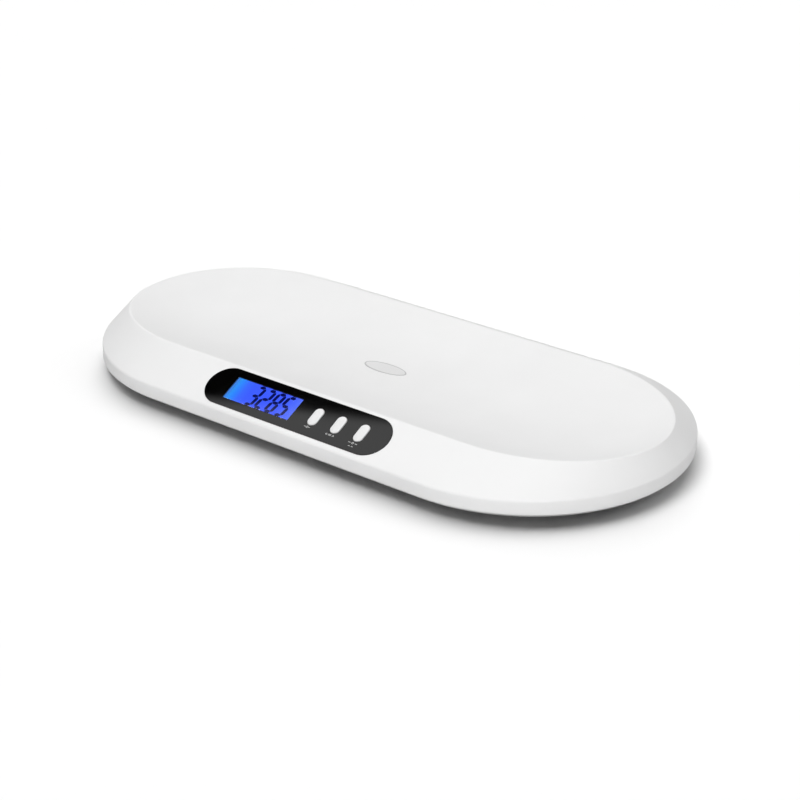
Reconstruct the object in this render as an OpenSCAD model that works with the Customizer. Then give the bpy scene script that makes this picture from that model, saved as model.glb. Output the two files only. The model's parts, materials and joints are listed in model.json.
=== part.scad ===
// Digital baby weighing scale: an oval dished tray with a sloped front console, on four weighing feet.
// Millimetres. The origin lies on the table under the middle of the scale.
// +X runs along its length to the user's right, -Y faces the user and +Z is up.

/* [Housing] */
// Overall length, tip to tip
scale_l = 550; // [530:1:580]
// Overall width, front to back
scale_w = 271; // [262:1:285]
// Wall thickness of the upper moulding
wall = 2.5; // [2.2:0.1:2.8]
// Height of the rim's lower edge above the table
rim_lift = 10; // [9.5:0.1:14]
// Height of the upright rim
rim_h = 11.1; // [10.5:0.1:14]
// Slope of the long front and back bands, in degrees
band_angle = 26.64; // [26:0.02:28]
// Level width of the long bands, rim to crest
band_run_side = 41.3; // [41:0.1:42]
// Level width of the steep bands at the two tips
band_run_end = 12.2; // [10:0.1:16]
// How much lower the crest is at the tips than along the sides
crest_dip = 2.5; // [0:0.1:4]
// Rounding length of the rim's upper edge and of the crest
edge_round = 1.6; // [0.8:0.1:2.4]

/* [Tray] */
// Depth of the dished tray below the side crest
tray_depth = 14.6; // [12:0.1:15.5]
// Length of the curved end of the tray, from its straight part to its tip
tray_end_l = 113; // [100:1:125]
// Length of the oval badge
badge_l = 42; // [30:1:60]
// Width of the oval badge
badge_w = 17; // [12:1:24]
// Thickness of the oval badge
badge_t = 0.8; // [0.6:0.1:1.2]
// How far the badge stands above the tray
badge_proud = 0.25; // [0.1:0.05:0.4]

/* [Console] */
// Length of the black console panel
console_l = 185.4; // [184:0.1:190]
// Width of the console panel, up the slope
console_w = 37.8; // [37:0.1:38.5]
// Place of the console's middle along the scale
console_x = 1.6; // [-4:0.1:4]
// Distance of the console's middle up the slope from the rim
console_v = 24.2; // [23.7:0.1:24.5]
// Thickness of the console panel
panel_t = 1.6; // [1.2:0.1:1.8]
// How far the panel stands out of the slope
panel_proud = 0.3; // [0.1:0.05:0.5]
// Length of the display window
window_l = 68.9; // [66:0.1:70]
// Width of the display window
window_w = 22.7; // [20:0.1:24]
// Distance of the window's middle left of the console's middle
window_left = 34.5; // [33.5:0.1:36.5]
// Gap around the window in its cut-out
window_gap = 0.15; // [0.1:0.05:0.25]

/* [Buttons] */
// Width of a button, along the scale
button_w = 8.6; // [8:0.05:9.6]
// Height of a button, up the slope
button_h = 17.2; // [15:0.1:18]
// Spacing of the three buttons
button_pitch = 22.95; // [22:0.05:23.2]
// Distance of the first button right of the console's middle
button_first = 20.75; // [20.25:0.05:21.75]
// How far a button stands out of the panel at rest
button_proud = 0.9; // [0.8:0.1:1.4]
// How far a button can be pressed
button_travel = 0.6; // [0.3:0.05:0.7]
// Gap between a button and its cut-out
button_gap = 0.3; // [0.25:0.05:0.45]
// Width of the flange that keeps a button in, on each side
flange_lip = 1.5; // [1:0.1:1.8]
// Thickness of that flange
flange_t = 1; // [0.8:0.1:1.2]

/* [Display and board] */
// Length of the display glass
glass_l = 72.5; // [71:0.1:73]
// Width of the display glass
glass_w = 29; // [27:0.1:29.5]
// Thickness of the display glass
glass_t = 2.8; // [2.2:0.1:2.9]
// Thickness of the light guide
guide_t = 2.6; // [2:0.1:2.8]
// Wall of the display frame
frame_wall = 2.6; // [1.6:0.1:2.8]
// How far the circuit board reaches past the display frame and the last button
board_margin = 8; // [7.5:0.5:10]
// Width of the circuit board
board_w = 38; // [36:0.1:38.5]
// Thickness of the circuit board
board_t = 1.6; // [1:0.1:1.6]
// Diameter of the board's mounting posts
board_post_d = 5; // [4.5:0.1:5.4]
// Side of a push switch
switch_w = 6; // [5:0.1:7]
// Height of a push switch
switch_h = 3.3; // [3:0.1:3.5]
// Diameter of a switch plunger
plunger_d = 3.4; // [3:0.1:3.8]
// Side of the controller chip
chip_w = 10; // [6:0.5:12]
// Height of a lead socket under the board
socket_h = 3.5; // [2.5:0.1:4]

/* [Base] */
// Thickness of the base plate
base_t = 3; // [2.8:0.1:3.2]
// How far the base plate lies below the rim's edge
base_drop = 2.5; // [1.5:0.1:2.5]
// Height of the base's upright wall above its plate
base_wall_h = 6; // [4:0.1:6.5]
// Thickness of the base's upright wall
base_wall = 2; // [1.6:0.1:2.4]
// Gap between the base's wall and the rim
base_gap = 0.4; // [0.3:0.05:0.6]
// Diameter of the screw posts
post_d = 8; // [7:0.1:9]
// Height of the base's screw posts above its plate
post_h = 3.5; // [3:0.1:4.5]
// Place of the side screws along the scale
side_screw_x = 110; // [104:1:118]
// Distance of the side screws inside the crest
side_screw_in = 9.2; // [9:0.1:14]
// Distance of the end screws inside the tips
end_screw_in = 53; // [50:1:60]
// Distance of the end screws from the long axis
end_screw_y = 40; // [34:1:44]
// Shank diameter of the housing screws
screw_d = 3; // [2.5:0.1:3.2]
// Height of the stiffening ribs
rib_h = 4; // [2:0.1:6]
// Thickness of the stiffening ribs
rib_t = 1.6; // [1.2:0.1:2]
// Length of the cross ribs, front to back
cross_rib_l = 84; // [60:1:90]

/* [Weighing feet] */
// Distance of the feet inside the tips
foot_in_x = 90; // [84:1:100]
// Distance of the feet inside the long edges
foot_in_y = 50.5; // [49:0.5:60]
// Diameter of a foot
foot_d = 37.4; // [34:0.1:38]
// Gap around a foot in its opening
foot_gap = 0.5; // [0.4:0.05:0.8]
// How far a foot is pressed in at full load
foot_travel = 0.4; // [0.2:0.05:0.5]
// Width of the lip that keeps a foot in, on each side
foot_lip = 2.3; // [1.8:0.1:2.6]
// Thickness of the rubber pad
pad_t = 2.4; // [2:0.1:3]
// How far the pad stands out of the foot
pad_proud = 1.5; // [1:0.1:1.8]
// Side of a load cell
cell_w = 32; // [30:0.5:33]
// Thickness of a load cell
cell_t = 1.4; // [1.2:0.1:1.8]
// Wall of the cell holders
holder_wall = 3; // [2.4:0.1:3.2]
// Thickness of the holders' roof
holder_roof = 2.5; // [2:0.1:3]

/* [Battery box] */
// Diameter of a battery
battery_d = 10.5; // [9.5:0.1:10.5]
// Length of a battery with its nub
battery_l = 44.5; // [42:0.1:46]
// Number of batteries
battery_count = 3; // [2:1:3]
// Gap between batteries and around them
battery_gap = 0.6; // [0.3:0.1:0.8]
// Free length of a compressed contact spring
spring_l = 6.4; // [5:0.1:8]
// Thickness of the contact plates
contact_t = 0.4; // [0.3:0.1:0.6]
// Side of the contact plates
contact_w = 9; // [7:0.1:9.5]
// Wall of the battery box
box_wall = 1.6; // [1.2:0.1:2]
// Distance of the battery box's middle behind the long axis
box_y = 30; // [20:1:40]
// Thickness of the battery door
door_t = 1.8; // [1.6:0.1:1.8]
// Width of the ledge that the door rests on
door_ledge = 3; // [2:0.1:4]
// Diameter of the door's hinge pins
hinge_pin_d = 1.4; // [1:0.1:1.5]
// Running clearance around a hinge pin
hinge_gap = 0.08; // [0.05:0.01:0.1]
// Width of the door's latch tongue
tongue_w = 12; // [9:0.5:14]
// Length of the door's latch tongue
tongue_l = 14; // [10:0.5:16]

/* [Hidden] */
$fn = 48;
// Overlap used where one solid grows out of another, and overshoot of a cutter
bite = 0.5;
// Gap between pieces that sit next to each other without a fit
seat_gap = 0.3;

// Housing: levels and plan outlines
rim_r = scale_w / 2;
rim_straight = scale_l / 2 - rim_r;
rim_top = rim_lift + rim_h;
crest_half_w = rim_r - band_run_side;
crest_straight = scale_l / 2 - band_run_end - tray_end_l;
crest_z = rim_top + band_run_side * tan(band_angle);
tip_z = crest_z - crest_dip;
tray_z = crest_z - tray_depth;
arc_steps = 28;
dish_steps = 7;
badge_steps = 72;
// Angles that set how far the inner surface lies inside the outer one
tip_band_angle = atan((tip_z - rim_top) / band_run_end);
side_dish_angle = atan(2 * tray_depth / crest_half_w);
tip_dish_angle = atan(2 * (tray_depth - crest_dip) / tray_end_l);

// Console stack: distances out of the slope, negative inwards
panel_top = panel_proud;
panel_bed = panel_top - panel_t;
panel_gap = 0.1;
window_sink = 0.05;
pad_depth = 2.2;
pad_margin = 1.8;
pad_bottom = panel_bed - pad_depth;
glass_top = panel_bed - seat_gap;
guide_top = glass_top - glass_t;
guide_gap = 0.2;
board_top = guide_top - guide_t - guide_gap;
board_bottom = board_top - board_t;
button_top = panel_top + button_proud;
flange_top = panel_bed - seat_gap;
flange_bottom = flange_top - flange_t;
plunger_top = flange_bottom - seat_gap;
plunger_l = 2.7;
plunger_bottom = plunger_top - plunger_l;
switch_top = board_top + switch_h;
window_x = console_x - window_left;
button_x = [for (i = [0 : 2]) console_x + button_first + i * button_pitch];
frame_gap = 0.3;
frame_l = glass_l + 2 * frame_gap + 2 * frame_wall;
frame_w = glass_w + 2 * frame_gap + 2 * frame_wall;
board_left = window_x - frame_l / 2 - board_margin;
board_right = button_x[2] + button_w / 2 + flange_lip + board_margin;
board_l = board_right - board_left;
board_x = (board_left + board_right) / 2;
board_screw_d = 2;
board_screw_l = 3;
board_screw_head_d = 3.8;
board_screw_head_h = 1.4;
board_post_in = 3;
board_post_v = board_w / 2 - board_post_in;
board_post_x = [board_left + board_post_in, (window_x + frame_l / 2 + button_x[0] - switch_w) / 2,
  board_right - board_post_in];
// Light guide, its light source and the display's contact strip
guide_shift = 1;
guide_l = glass_l - 3;
guide_w = glass_w - 5;
led_w = 8;
led_t = 1;
led_gap = 0.1;
strip_w = 1.6;
strip_l = glass_l - 10;
chip_x = -12;
chip_t = 1.2;
// Plug sockets under the board: four for the load cells, one for the batteries
socket_x = [-55, -35, 35, 55, 12];
socket_v = 20;
socket_l = 8;
socket_w = 5;
// Small gap of a fixed piece in its seat
fit_gap = 0.1;
// Clearance of a moving piece in the hole that guides it
slide_gap = 0.2;

// Base: levels
base_z = rim_lift - base_drop;
base_top = base_z + base_t;
base_r = rim_r - wall - base_gap;
post_top = base_top + post_h;
screw_head_d = 5.6;
screw_head_h = 2;
screw_sink = 2.4;
screw_l = 16;
thread_gap = 0.05;
// Ribs: how far they stay off the battery box, the feet and each other
rib_off_box = 28;
rib_off_foot = 30;
cross_rib_at = [20, 10];
housing_screws_at = concat(
  [for (x = [-1, 1], y = [-1, 1]) [x * side_screw_x, y * (crest_half_w - side_screw_in)]],
  [for (x = [-1, 1], y = [-1, 1]) [x * (scale_l / 2 - end_screw_in), y * end_screw_y]]);

// Weighing feet: places and levels
foot_x = scale_l / 2 - foot_in_x;
foot_y = scale_w / 2 - foot_in_y;
foot_bottom = pad_proud;
lip_bottom = base_top + seat_gap;
lip_t = 1.5;
lip_top = lip_bottom + lip_t;
foot_boss_r = 4;
foot_boss_top = lip_top + 0.9;
foot_core_r = 7;
foot_wall = 3.7;
pad_r = foot_d / 2 - 1.7;
pad_groove_r = [5, 9, 13];
pad_groove_w = 1.2;
pad_groove_depth = 0.5;
cell_bottom = foot_boss_top + foot_travel + seat_gap;
cell_top = cell_bottom + cell_t;
foot_opening_r = foot_d / 2 + foot_gap;
lip_r = foot_d / 2 + foot_lip;
cell_corner_r = 4;
// From the middle of the cell to the outside of its rounded corners
cell_reach = (cell_w / 2 - cell_corner_r) * sqrt(2) + cell_corner_r;
// Sides of the cell's slot, as shares of the cell's side, and the tongue's neck and strain gauge
cell_slot_out = 0.68;
cell_slot_in = 0.55;
tongue_neck = 8;
gauge_l = 4.5;
gauge_w = 5;
gauge_t = 0.5;
gauge_y = cell_w * 0.2;
holder_in_r = max(lip_r + 1, cell_reach + 0.6);
holder_out_r = holder_in_r + holder_wall;
// Share of the cell's side that the roof's hole leaves free, so that only the outer frame is pressed
roof_hole = 0.36;
holder_slot_w = 4;
holder_slot_h = 3;
hook_w = 3;
hook_reach = 1.4;
hook_lip_t = 0.5;
hook_r = cell_reach + slide_gap;
holder_ear = holder_out_r + 5;
ear_t = 2;
ear_w = 8;
holder_screw_d = 2.6;
holder_screw_head_d = 4.8;
holder_screw_head_h = 1.6;
holder_screw_tip_z = base_z + 1.5;

// Battery box: levels and inner size
door_top = base_z + door_t;
box_in_l = battery_l + spring_l + 2 * contact_t;
box_in_w = battery_count * battery_d + (battery_count + 1) * battery_gap;
battery_z = door_top + seat_gap + battery_d / 2;
box_roof = battery_z + battery_d / 2 + seat_gap;
box_top = box_roof + box_wall;
door_gap = 0.3;
door_l = box_in_l + 2 * door_ledge + 4;
door_w = box_in_w + 2 * door_ledge;
barrel_r = 1.3;
hinge_x = -door_l / 2 + barrel_r;
hinge_z = base_z + barrel_r;
hinge_pin_l = 1.6;
hinge_block_margin = 3;
hinge_block_h = 1.6;
door_rebate_gap = 0.2;
latch_depth = 3;
latch_t = 1.2;
latch_inset = 1.5;
tongue_slit = 1;
scoop_l = 6;
scoop_depth = 1.4;
grip_l = 7;
grip_w = 0.9;
grip_h = 0.4;
grip_pitch = 2;
// Batteries, their nubs, the lugs of their contacts and the contact springs
nub_l = 1;
nub_d = 3.8;
lug_w = 3;
lug_l = 2;
spring_turns = 3.5;
spring_steps = 12;
spring_wire_r = 0.35;
spring_r = 2.6;
spring_end_gap = 0.1;

// Leads. A lead leaves its cell level, under the holder's roof, before it drops to the base
lead_r = 1;
lead_sides = 8;
lead_z = base_top + lead_r + 0.4;
cell_lead_z = cell_top - lead_r - fit_gap;
cell_edge_x = foot_x - cell_w / 2;
cell_lead_out = 10;
front_route = [[-142, -90], [-125, -98], [-105, -104], [-85, -107], [-66, -106]];
rear_route = [[-142, 82], [-118, 71], [-90, 56], [-64, 34], [-52, 0], [-46, -45], [-38, -85]];
battery_lead_r = 0.7;
battery_lead_apart = 1.5;
lug_lead_out = 4;
right_route = [[41, 4, 12], [38, -25, 11.7], [26, -60, 11.7], [15, -92, 12]];
left_route = [[-42, 20, 12], [-38, -10, 11.7], [-22, -50, 11.7], [0, -80, 11.7], [8, -94, 12]];
// Straight stretch of a lead below its socket
socket_straight = 2.5;

function lerp(a, b, t) = a + (b - a) * t;
function unit(v) = v / norm(v);

// A ring round the scale: [straight half length, length of its round end, half width,
// height along the sides, height at the tips]
rim_low_ring = [rim_straight, rim_r, rim_r, rim_lift, rim_lift];
rim_ring = [rim_straight, rim_r, rim_r, rim_top, rim_top];
crest_ring = dish_ring(1);
function dish_ring(rho) = [crest_straight, tray_end_l * rho, crest_half_w * rho,
  lerp(tray_z, crest_z, rho * rho), lerp(tray_z, tip_z, rho * rho)];

// The inner surface lies one wall inside the outer one
function crest_inset(band, dish) = wall * (1 / cos(band) - 1 / cos(dish)) / (tan(band) + tan(dish));
side_inset = crest_inset(band_angle, side_dish_angle);
tip_inset = crest_inset(tip_band_angle, tip_dish_angle);
under_low_ring = [rim_straight, rim_r - wall, rim_r - wall, rim_lift, rim_lift];
under_rim_ring = [rim_straight, rim_r - wall, rim_r - wall,
  rim_top + wall * tan(band_angle) - wall / cos(band_angle),
  rim_top + wall * tan(tip_band_angle) - wall / cos(tip_band_angle)];
under_crest_side_z = crest_z - wall / cos(side_dish_angle) - side_inset * tan(side_dish_angle);
under_crest_tip_z = tip_z - wall / cos(tip_dish_angle) - tip_inset * tan(tip_dish_angle);
function under_ring(rho) = [crest_straight, (tray_end_l - tip_inset) * rho,
  (crest_half_w - side_inset) * rho, lerp(tray_z - wall, under_crest_side_z, rho * rho),
  lerp(tray_z - wall, under_crest_tip_z, rho * rho)];

function ring_point(ring, end, angle) = [end * ring[0] + ring[1] * cos(angle), ring[2] * sin(angle),
  lerp(ring[3], ring[4], pow(cos(angle), 2))];
function ring_points(ring) = [for (end = [1, -1], step = [0 : arc_steps])
  ring_point(ring, end, 180 * step / arc_steps - 90 * end)];
function rounded(before, at, after) = (before + 2 * at + after) / 4;

// Points and faces of a closed skin: rings from the outer lower edge up, over and down to the
// tray's middle line, then from the inner middle line back out to the inner lower edge
below_rim = rim_ring - [0, 0, 0, edge_round, edge_round];
past_rim = lerp(rim_ring, crest_ring, edge_round / band_run_side);
before_crest = lerp(crest_ring, rim_ring, edge_round / band_run_side);
crest_rho = 1 - edge_round / crest_half_w;
past_crest = dish_ring(crest_rho);
outer_rings = concat([rim_low_ring, below_rim, rounded(below_rim, rim_ring, past_rim), past_rim,
  before_crest, rounded(before_crest, crest_ring, past_crest), past_crest],
  [for (i = [dish_steps - 1 : -1 : 1]) dish_ring(crest_rho * i / dish_steps)]);
inner_rings = concat([for (i = [1 : dish_steps]) under_ring(i / dish_steps)],
  [under_rim_ring, under_low_ring]);
ring_n = 2 * (arc_steps + 1);
outer_n = len(outer_rings);
inner_n = len(inner_rings);
middle_start = ring_n * (outer_n + inner_n);
shell_points = concat(
  [for (ring = concat(outer_rings, inner_rings)) each ring_points(ring)],
  [for (z = [tray_z, tray_z - wall], end = [1, -1]) [end * crest_straight, 0, z]]);
function next_step(k) = (k + 1) % ring_n;
function band_faces(ring_a, ring_b) = [for (k = [0 : ring_n - 1])
  each [[ring_a * ring_n + k, ring_b * ring_n + k, ring_b * ring_n + next_step(k)],
    [ring_a * ring_n + k, ring_b * ring_n + next_step(k), ring_a * ring_n + next_step(k)]]];
// Faces from a ring to the two end points of a middle line
function middle_faces(ring, right, left) = [for (k = [0 : ring_n - 1])
  let (here = k <= arc_steps ? right : left, there = next_step(k) <= arc_steps ? right : left)
  each here == there
    ? [[ring * ring_n + k, here, ring * ring_n + next_step(k)]]
    : [[ring * ring_n + k, here, ring * ring_n + next_step(k)],
      [here, there, ring * ring_n + next_step(k)]]];
function reversed(faces) = [for (face = faces) [face[0], face[2], face[1]]];
shell_faces = concat(
  [for (i = [0 : outer_n - 2]) each band_faces(i, i + 1)],
  middle_faces(outer_n - 1, middle_start, middle_start + 1),
  reversed(middle_faces(outer_n, middle_start + 2, middle_start + 3)),
  [for (i = [outer_n : outer_n + inner_n - 2]) each band_faces(i, i + 1)],
  band_faces(outer_n + inner_n - 1, 0));

// Height halfway through the tray's wall at a place in the tray
function tray_rho(x, y) =
  norm([max(abs(x) - crest_straight, 0) / tray_end_l, y / crest_half_w]);
function tray_mid_z(x, y) = tray_z - wall / 2 + tray_depth * pow(tray_rho(x, y), 2)
  - crest_dip * pow(max(abs(x) - crest_straight, 0) / tray_end_l, 2);

// A point given in the slope's own frame: along the scale, up the slope and out of it
function slope_point(x, v, w) = [x, -rim_r + v * cos(band_angle) - w * sin(band_angle),
  rim_top + v * sin(band_angle) + w * cos(band_angle)];
module on_slope() {
  translate([0, -rim_r, rim_top]) rotate([band_angle, 0, 0]) children();
}
// Stands its 2D child on the slope between two distances out of it
module slope_block(x, v, low, high) {
  on_slope() translate([x, v, low]) linear_extrude(high - low) children();
}

// Oblong with round ends, lying along X when it is longer than wide
module oblong(length, width) {
  d = min(length, width);
  square([max(length - d, 0.001) + (length < width ? d : 0),
    max(width - d, 0.001) + (width <= length ? d : 0)], center = true);
  for (side = [-1, 1])
    translate([side * max(length - width, 0) / 2, side * max(width - length, 0) / 2]) circle(d = d);
}
module rounded_square(side, r) {
  square([side - 2 * r, side], center = true);
  square([side, side - 2 * r], center = true);
  for (x = [-1, 1], y = [-1, 1]) translate([x * (side / 2 - r), y * (side / 2 - r)]) circle(r);
}
// Upright plate of the housing's outline with a given end radius
module housing_plate(r, low, high) {
  translate([0, 0, low]) linear_extrude(high - low) oblong(2 * (rim_straight + r), 2 * r);
}
module disc(r, low, high) {
  translate([0, 0, low]) cylinder(r = r, h = high - low);
}

// Tube swept along a path of points, with flat ends
function path_side(path, i, up) =
  unit(cross(unit(path[min(i + 1, len(path) - 1)] - path[max(i - 1, 0)]), up));
function tube_ring(path, i, r, sides, up) =
  let (along = unit(path[min(i + 1, len(path) - 1)] - path[max(i - 1, 0)]),
    side = path_side(path, i, up), lift = cross(side, along))
  [for (k = [0 : sides - 1]) path[i] + r * (cos(360 * k / sides) * side + sin(360 * k / sides) * lift)];
module tube(path, r, sides, up) {
  n = len(path);
  points = [for (i = [0 : n - 1]) each tube_ring(path, i, r, sides, up)];
  skin = [for (i = [0 : n - 2], k = [0 : sides - 1])
    let (a = i * sides + k, b = i * sides + (k + 1) % sides)
    each [[a, b, a + sides], [b, b + sides, a + sides]]];
  caps = [for (k = [1 : sides - 2]) each [[0, k + 1, k],
    [(n - 1) * sides, (n - 1) * sides + k, (n - 1) * sides + k + 1]]];
  polyhedron(points, concat(skin, caps));
}
// Smooth path through hand-chosen points
path_substeps = 2;
function path_between(p, i, t) =
  let (a = p[max(i - 1, 0)], b = p[i], c = p[i + 1], d = p[min(i + 2, len(p) - 1)])
  0.5 * (2 * b + (c - a) * t + (2 * a - 5 * b + 4 * c - d) * t * t
    + (3 * b - a - 3 * c + d) * t * t * t);
function smooth_path(p) = concat(
  [for (i = [0 : len(p) - 2], s = [0 : path_substeps - 1]) path_between(p, i, s / path_substeps)],
  [p[len(p) - 1]]);

// ---- Upper housing ----

module top_shell() {
  color("white") difference() {
    union() {
      polyhedron(shell_points, shell_faces);
      slope_block(console_x, console_v, pad_bottom, -wall / 2)
        oblong(console_l + 2 * pad_margin, console_w + 2 * pad_margin);
      for (at = housing_screws_at)
        translate([at[0], at[1], 0]) disc(post_d / 2 - bite, post_top, tray_mid_z(at[0], at[1]));
      for (x = board_post_x, v = [-1, 1] * board_post_v)
        slope_block(x, console_v + v, board_top, pad_bottom + bite) circle(d = board_post_d);
    }
    console_cuts();
    for (at = housing_screws_at)
      translate([at[0], at[1], 0]) disc(screw_d / 2, post_top - bite, base_z + screw_sink + screw_l + 1);
    for (x = board_post_x, v = [-1, 1] * board_post_v)
      slope_block(x, console_v + v, board_top - bite, board_top + board_screw_l + bite)
        circle(d = board_screw_d);
    translate([0, 0, tray_z + badge_proud - badge_t]) linear_extrude(badge_t + bite + tray_depth)
      badge_outline(fit_gap);
  }
}
module console_cuts() {
  slope_block(console_x, console_v, panel_bed, panel_top + bite)
    oblong(console_l + 2 * panel_gap, console_w + 2 * panel_gap);
  slope_block(window_x, console_v, pad_bottom - bite, panel_bed + bite)
    square([glass_l + 2 * frame_gap, glass_w + 2 * frame_gap], center = true);
  for (x = button_x)
    slope_block(x, console_v, pad_bottom - bite, panel_bed + bite)
      oblong(button_w + 2 * (flange_lip + button_gap), button_h + 2 * (flange_lip + button_gap));
}
module badge_outline(gap) {
  polygon([for (i = [0 : badge_steps - 1]) [(badge_l / 2 + gap) * cos(360 * i / badge_steps),
    (badge_w / 2 + gap) * sin(360 * i / badge_steps)]]);
}
module tray_badge() {
  color("gainsboro") translate([0, 0, tray_z + badge_proud - badge_t]) linear_extrude(badge_t)
    badge_outline(0);
}

// ---- Console ----

module console_panel() {
  color("black") difference() {
    slope_block(console_x, console_v, panel_bed, panel_top) oblong(console_l, console_w);
    slope_block(window_x, console_v, panel_bed - bite, panel_top + bite)
      square([window_l, window_w], center = true);
    for (x = button_x)
      slope_block(x, console_v, panel_bed - bite, panel_top + bite)
        oblong(button_w + 2 * button_gap, button_h + 2 * button_gap);
  }
}
module display_window() {
  color("lightblue", 0.4) slope_block(window_x, console_v, panel_bed, panel_top - window_sink)
    square([window_l - 2 * window_gap, window_w - 2 * window_gap], center = true);
}
module lcd_glass() {
  color("royalblue") slope_block(window_x, console_v, guide_top, glass_top)
    square([glass_l, glass_w], center = true);
}
module backlight_guide() {
  color("aliceblue") slope_block(window_x + guide_shift, console_v, board_top + guide_gap, guide_top)
    square([guide_l, guide_w], center = true);
}
module backlight_led() {
  led_x = window_x + guide_shift - guide_l / 2 - led_t / 2;
  color("deepskyblue") slope_block(led_x, console_v, board_top, guide_top - led_gap)
    square([led_t, led_w], center = true);
}
module elastomer_strip() {
  color("dimgray") slope_block(window_x, console_v + glass_w / 2 - strip_w / 2, board_top, guide_top)
    square([strip_l, strip_w], center = true);
}
module lcd_frame() {
  color("ivory") difference() {
    slope_block(window_x, console_v, board_top, pad_bottom - slide_gap)
      square([frame_l, frame_w], center = true);
    slope_block(window_x, console_v, board_top - bite, pad_bottom + bite)
      square([glass_l + 2 * frame_gap, glass_w + 2 * frame_gap], center = true);
  }
}
module main_board() {
  color("darkgreen") difference() {
    slope_block(board_x, console_v, board_bottom, board_top) square([board_l, board_w], center = true);
    for (x = board_post_x, v = [-1, 1] * board_post_v)
      slope_block(x, console_v + v, board_bottom - bite, board_top + bite)
        circle(d = board_screw_d + 2 * slide_gap);
  }
}
module board_screws() {
  color("silver") for (x = board_post_x, v = [-1, 1] * board_post_v) {
    slope_block(x, console_v + v, board_bottom, board_top + board_screw_l)
      circle(d = board_screw_d - 2 * thread_gap);
    slope_block(x, console_v + v, board_bottom - board_screw_head_h, board_bottom)
      circle(d = board_screw_head_d);
  }
}
module controller_chip() {
  color("dimgray") slope_block(chip_x, console_v, board_bottom - chip_t, board_bottom)
    square(chip_w, center = true);
}
module lead_sockets() {
  color("ivory") for (x = socket_x)
    slope_block(x, socket_v, board_bottom - socket_h, board_bottom)
      square([socket_l, socket_w], center = true);
}

// ---- Buttons and switches ----

module button(i) {
  color("whitesmoke") {
    slope_block(button_x[i], console_v, flange_bottom, flange_top)
      oblong(button_w + 2 * flange_lip, button_h + 2 * flange_lip);
    slope_block(button_x[i], console_v, flange_top - bite, button_top) oblong(button_w, button_h);
  }
}
module switch(i) {
  color("silver") difference() {
    slope_block(button_x[i], console_v, board_top, switch_top) square(switch_w, center = true);
    slope_block(button_x[i], console_v, plunger_bottom - button_travel - slide_gap, switch_top + bite)
      circle(d = plunger_d + 2 * seat_gap);
  }
}
module plunger(i) {
  color("dimgray") slope_block(button_x[i], console_v, plunger_bottom, plunger_top)
    circle(d = plunger_d);
}

// ---- Base ----

module base_shell() {
  color("whitesmoke") difference() {
    union() {
      housing_plate(base_r, base_z, base_top);
      difference() {
        housing_plate(base_r, base_z, base_top + base_wall_h);
        housing_plate(base_r - base_wall, base_top - bite, base_top + base_wall_h + bite);
      }
      for (at = housing_screws_at)
        translate([at[0], at[1], 0]) disc(post_d / 2, base_top - bite, post_top);
      at_feet() for (side = [-1, 1])
        translate([0, side * holder_ear, 0]) disc(ear_w / 2 - bite, base_top - bite, post_top);
      battery_box_walls();
      hinge_block();
      base_ribs();
    }
    for (at = housing_screws_at) translate([at[0], at[1], 0]) {
      disc(screw_d / 2 + 0.3, base_z - bite, post_top + bite);
      disc(screw_head_d / 2 + 0.3, base_z - bite, base_z + screw_sink);
    }
    at_feet() {
      disc(foot_opening_r, base_z - bite, base_top + bite);
      for (side = [-1, 1])
        translate([0, side * holder_ear, 0]) disc(holder_screw_d / 2, base_z + 1, post_top + bite);
    }
    battery_box_hollow();
    door_opening();
  }
}
module at_feet() {
  for (x = [-1, 1], y = [-1, 1]) translate([x * foot_x, y * foot_y, 0]) children();
}
module base_ribs() {
  for (side = [-1, 1]) {
    rib_from = box_in_l / 2 + box_wall + rib_off_box;
    rib_to = foot_x - rib_off_foot;
    translate([side * (rib_from + rib_to) / 2, 0, base_top - bite]) linear_extrude(rib_h + bite)
      square([rib_to - rib_from, rib_t], center = true);
    for (x = [rib_from + cross_rib_at[0], rib_to - cross_rib_at[1]])
      translate([side * x, 0, base_top - bite]) linear_extrude(rib_h + bite)
        square([rib_t, cross_rib_l], center = true);
  }
}
// Box centred on the battery box, from one level to another
module box_block(length, width, low, high) {
  translate([-length / 2, box_y - width / 2, low]) cube([length, width, high - low]);
}
module battery_box_walls() {
  box_block(box_in_l + 2 * box_wall, box_in_w + 2 * box_wall, base_top - bite, box_top);
}
module battery_box_hollow() {
  box_block(box_in_l, box_in_w, base_z - bite, box_roof);
  for (side = [-1, 1]) translate([side * (box_in_l / 2 + box_wall / 2), lug_y(side), battery_z])
    cube([box_wall + 2 * bite, lug_w + 2 * seat_gap, contact_t + 2 * seat_gap], center = true);
}
module hinge_block() {
  block_l = 2 * (barrel_r + hinge_block_margin);
  block_w = door_w + 2 * hinge_block_margin;
  translate([hinge_x - block_l / 2, box_y - block_w / 2, base_top - bite])
    cube([block_l, block_w, hinge_block_h + bite]);
}
module door_opening() {
  // Rebate that the door fills, down to its ledge
  box_block(door_l + 2 * door_gap, door_w + 2 * door_gap, base_z - bite, door_top + door_rebate_gap);
  // Room for the hinge barrel, and the bores of its pins
  translate([-door_l / 2 - door_gap, box_y - door_w / 2 - door_gap, base_z])
    cube([2 * barrel_r + 2 * door_gap, door_w + 2 * door_gap, 2 * barrel_r + door_gap]);
  translate([hinge_x, box_y, hinge_z]) rotate([90, 0, 0])
    cylinder(d = hinge_pin_d + 2 * hinge_gap, h = door_w + 2 * (hinge_pin_l + seat_gap), center = true);
  // Notch for the latch nose and a shallow scoop for a fingertip
  translate([door_l / 2 - latch_depth, box_y - tongue_w / 2, base_z])
    cube([latch_depth + door_gap, tongue_w, base_t + bite]);
  translate([door_l / 2 + door_gap - bite, box_y - tongue_w / 2, base_z - bite])
    cube([scoop_l + bite, tongue_w, scoop_depth + bite]);
}
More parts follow.
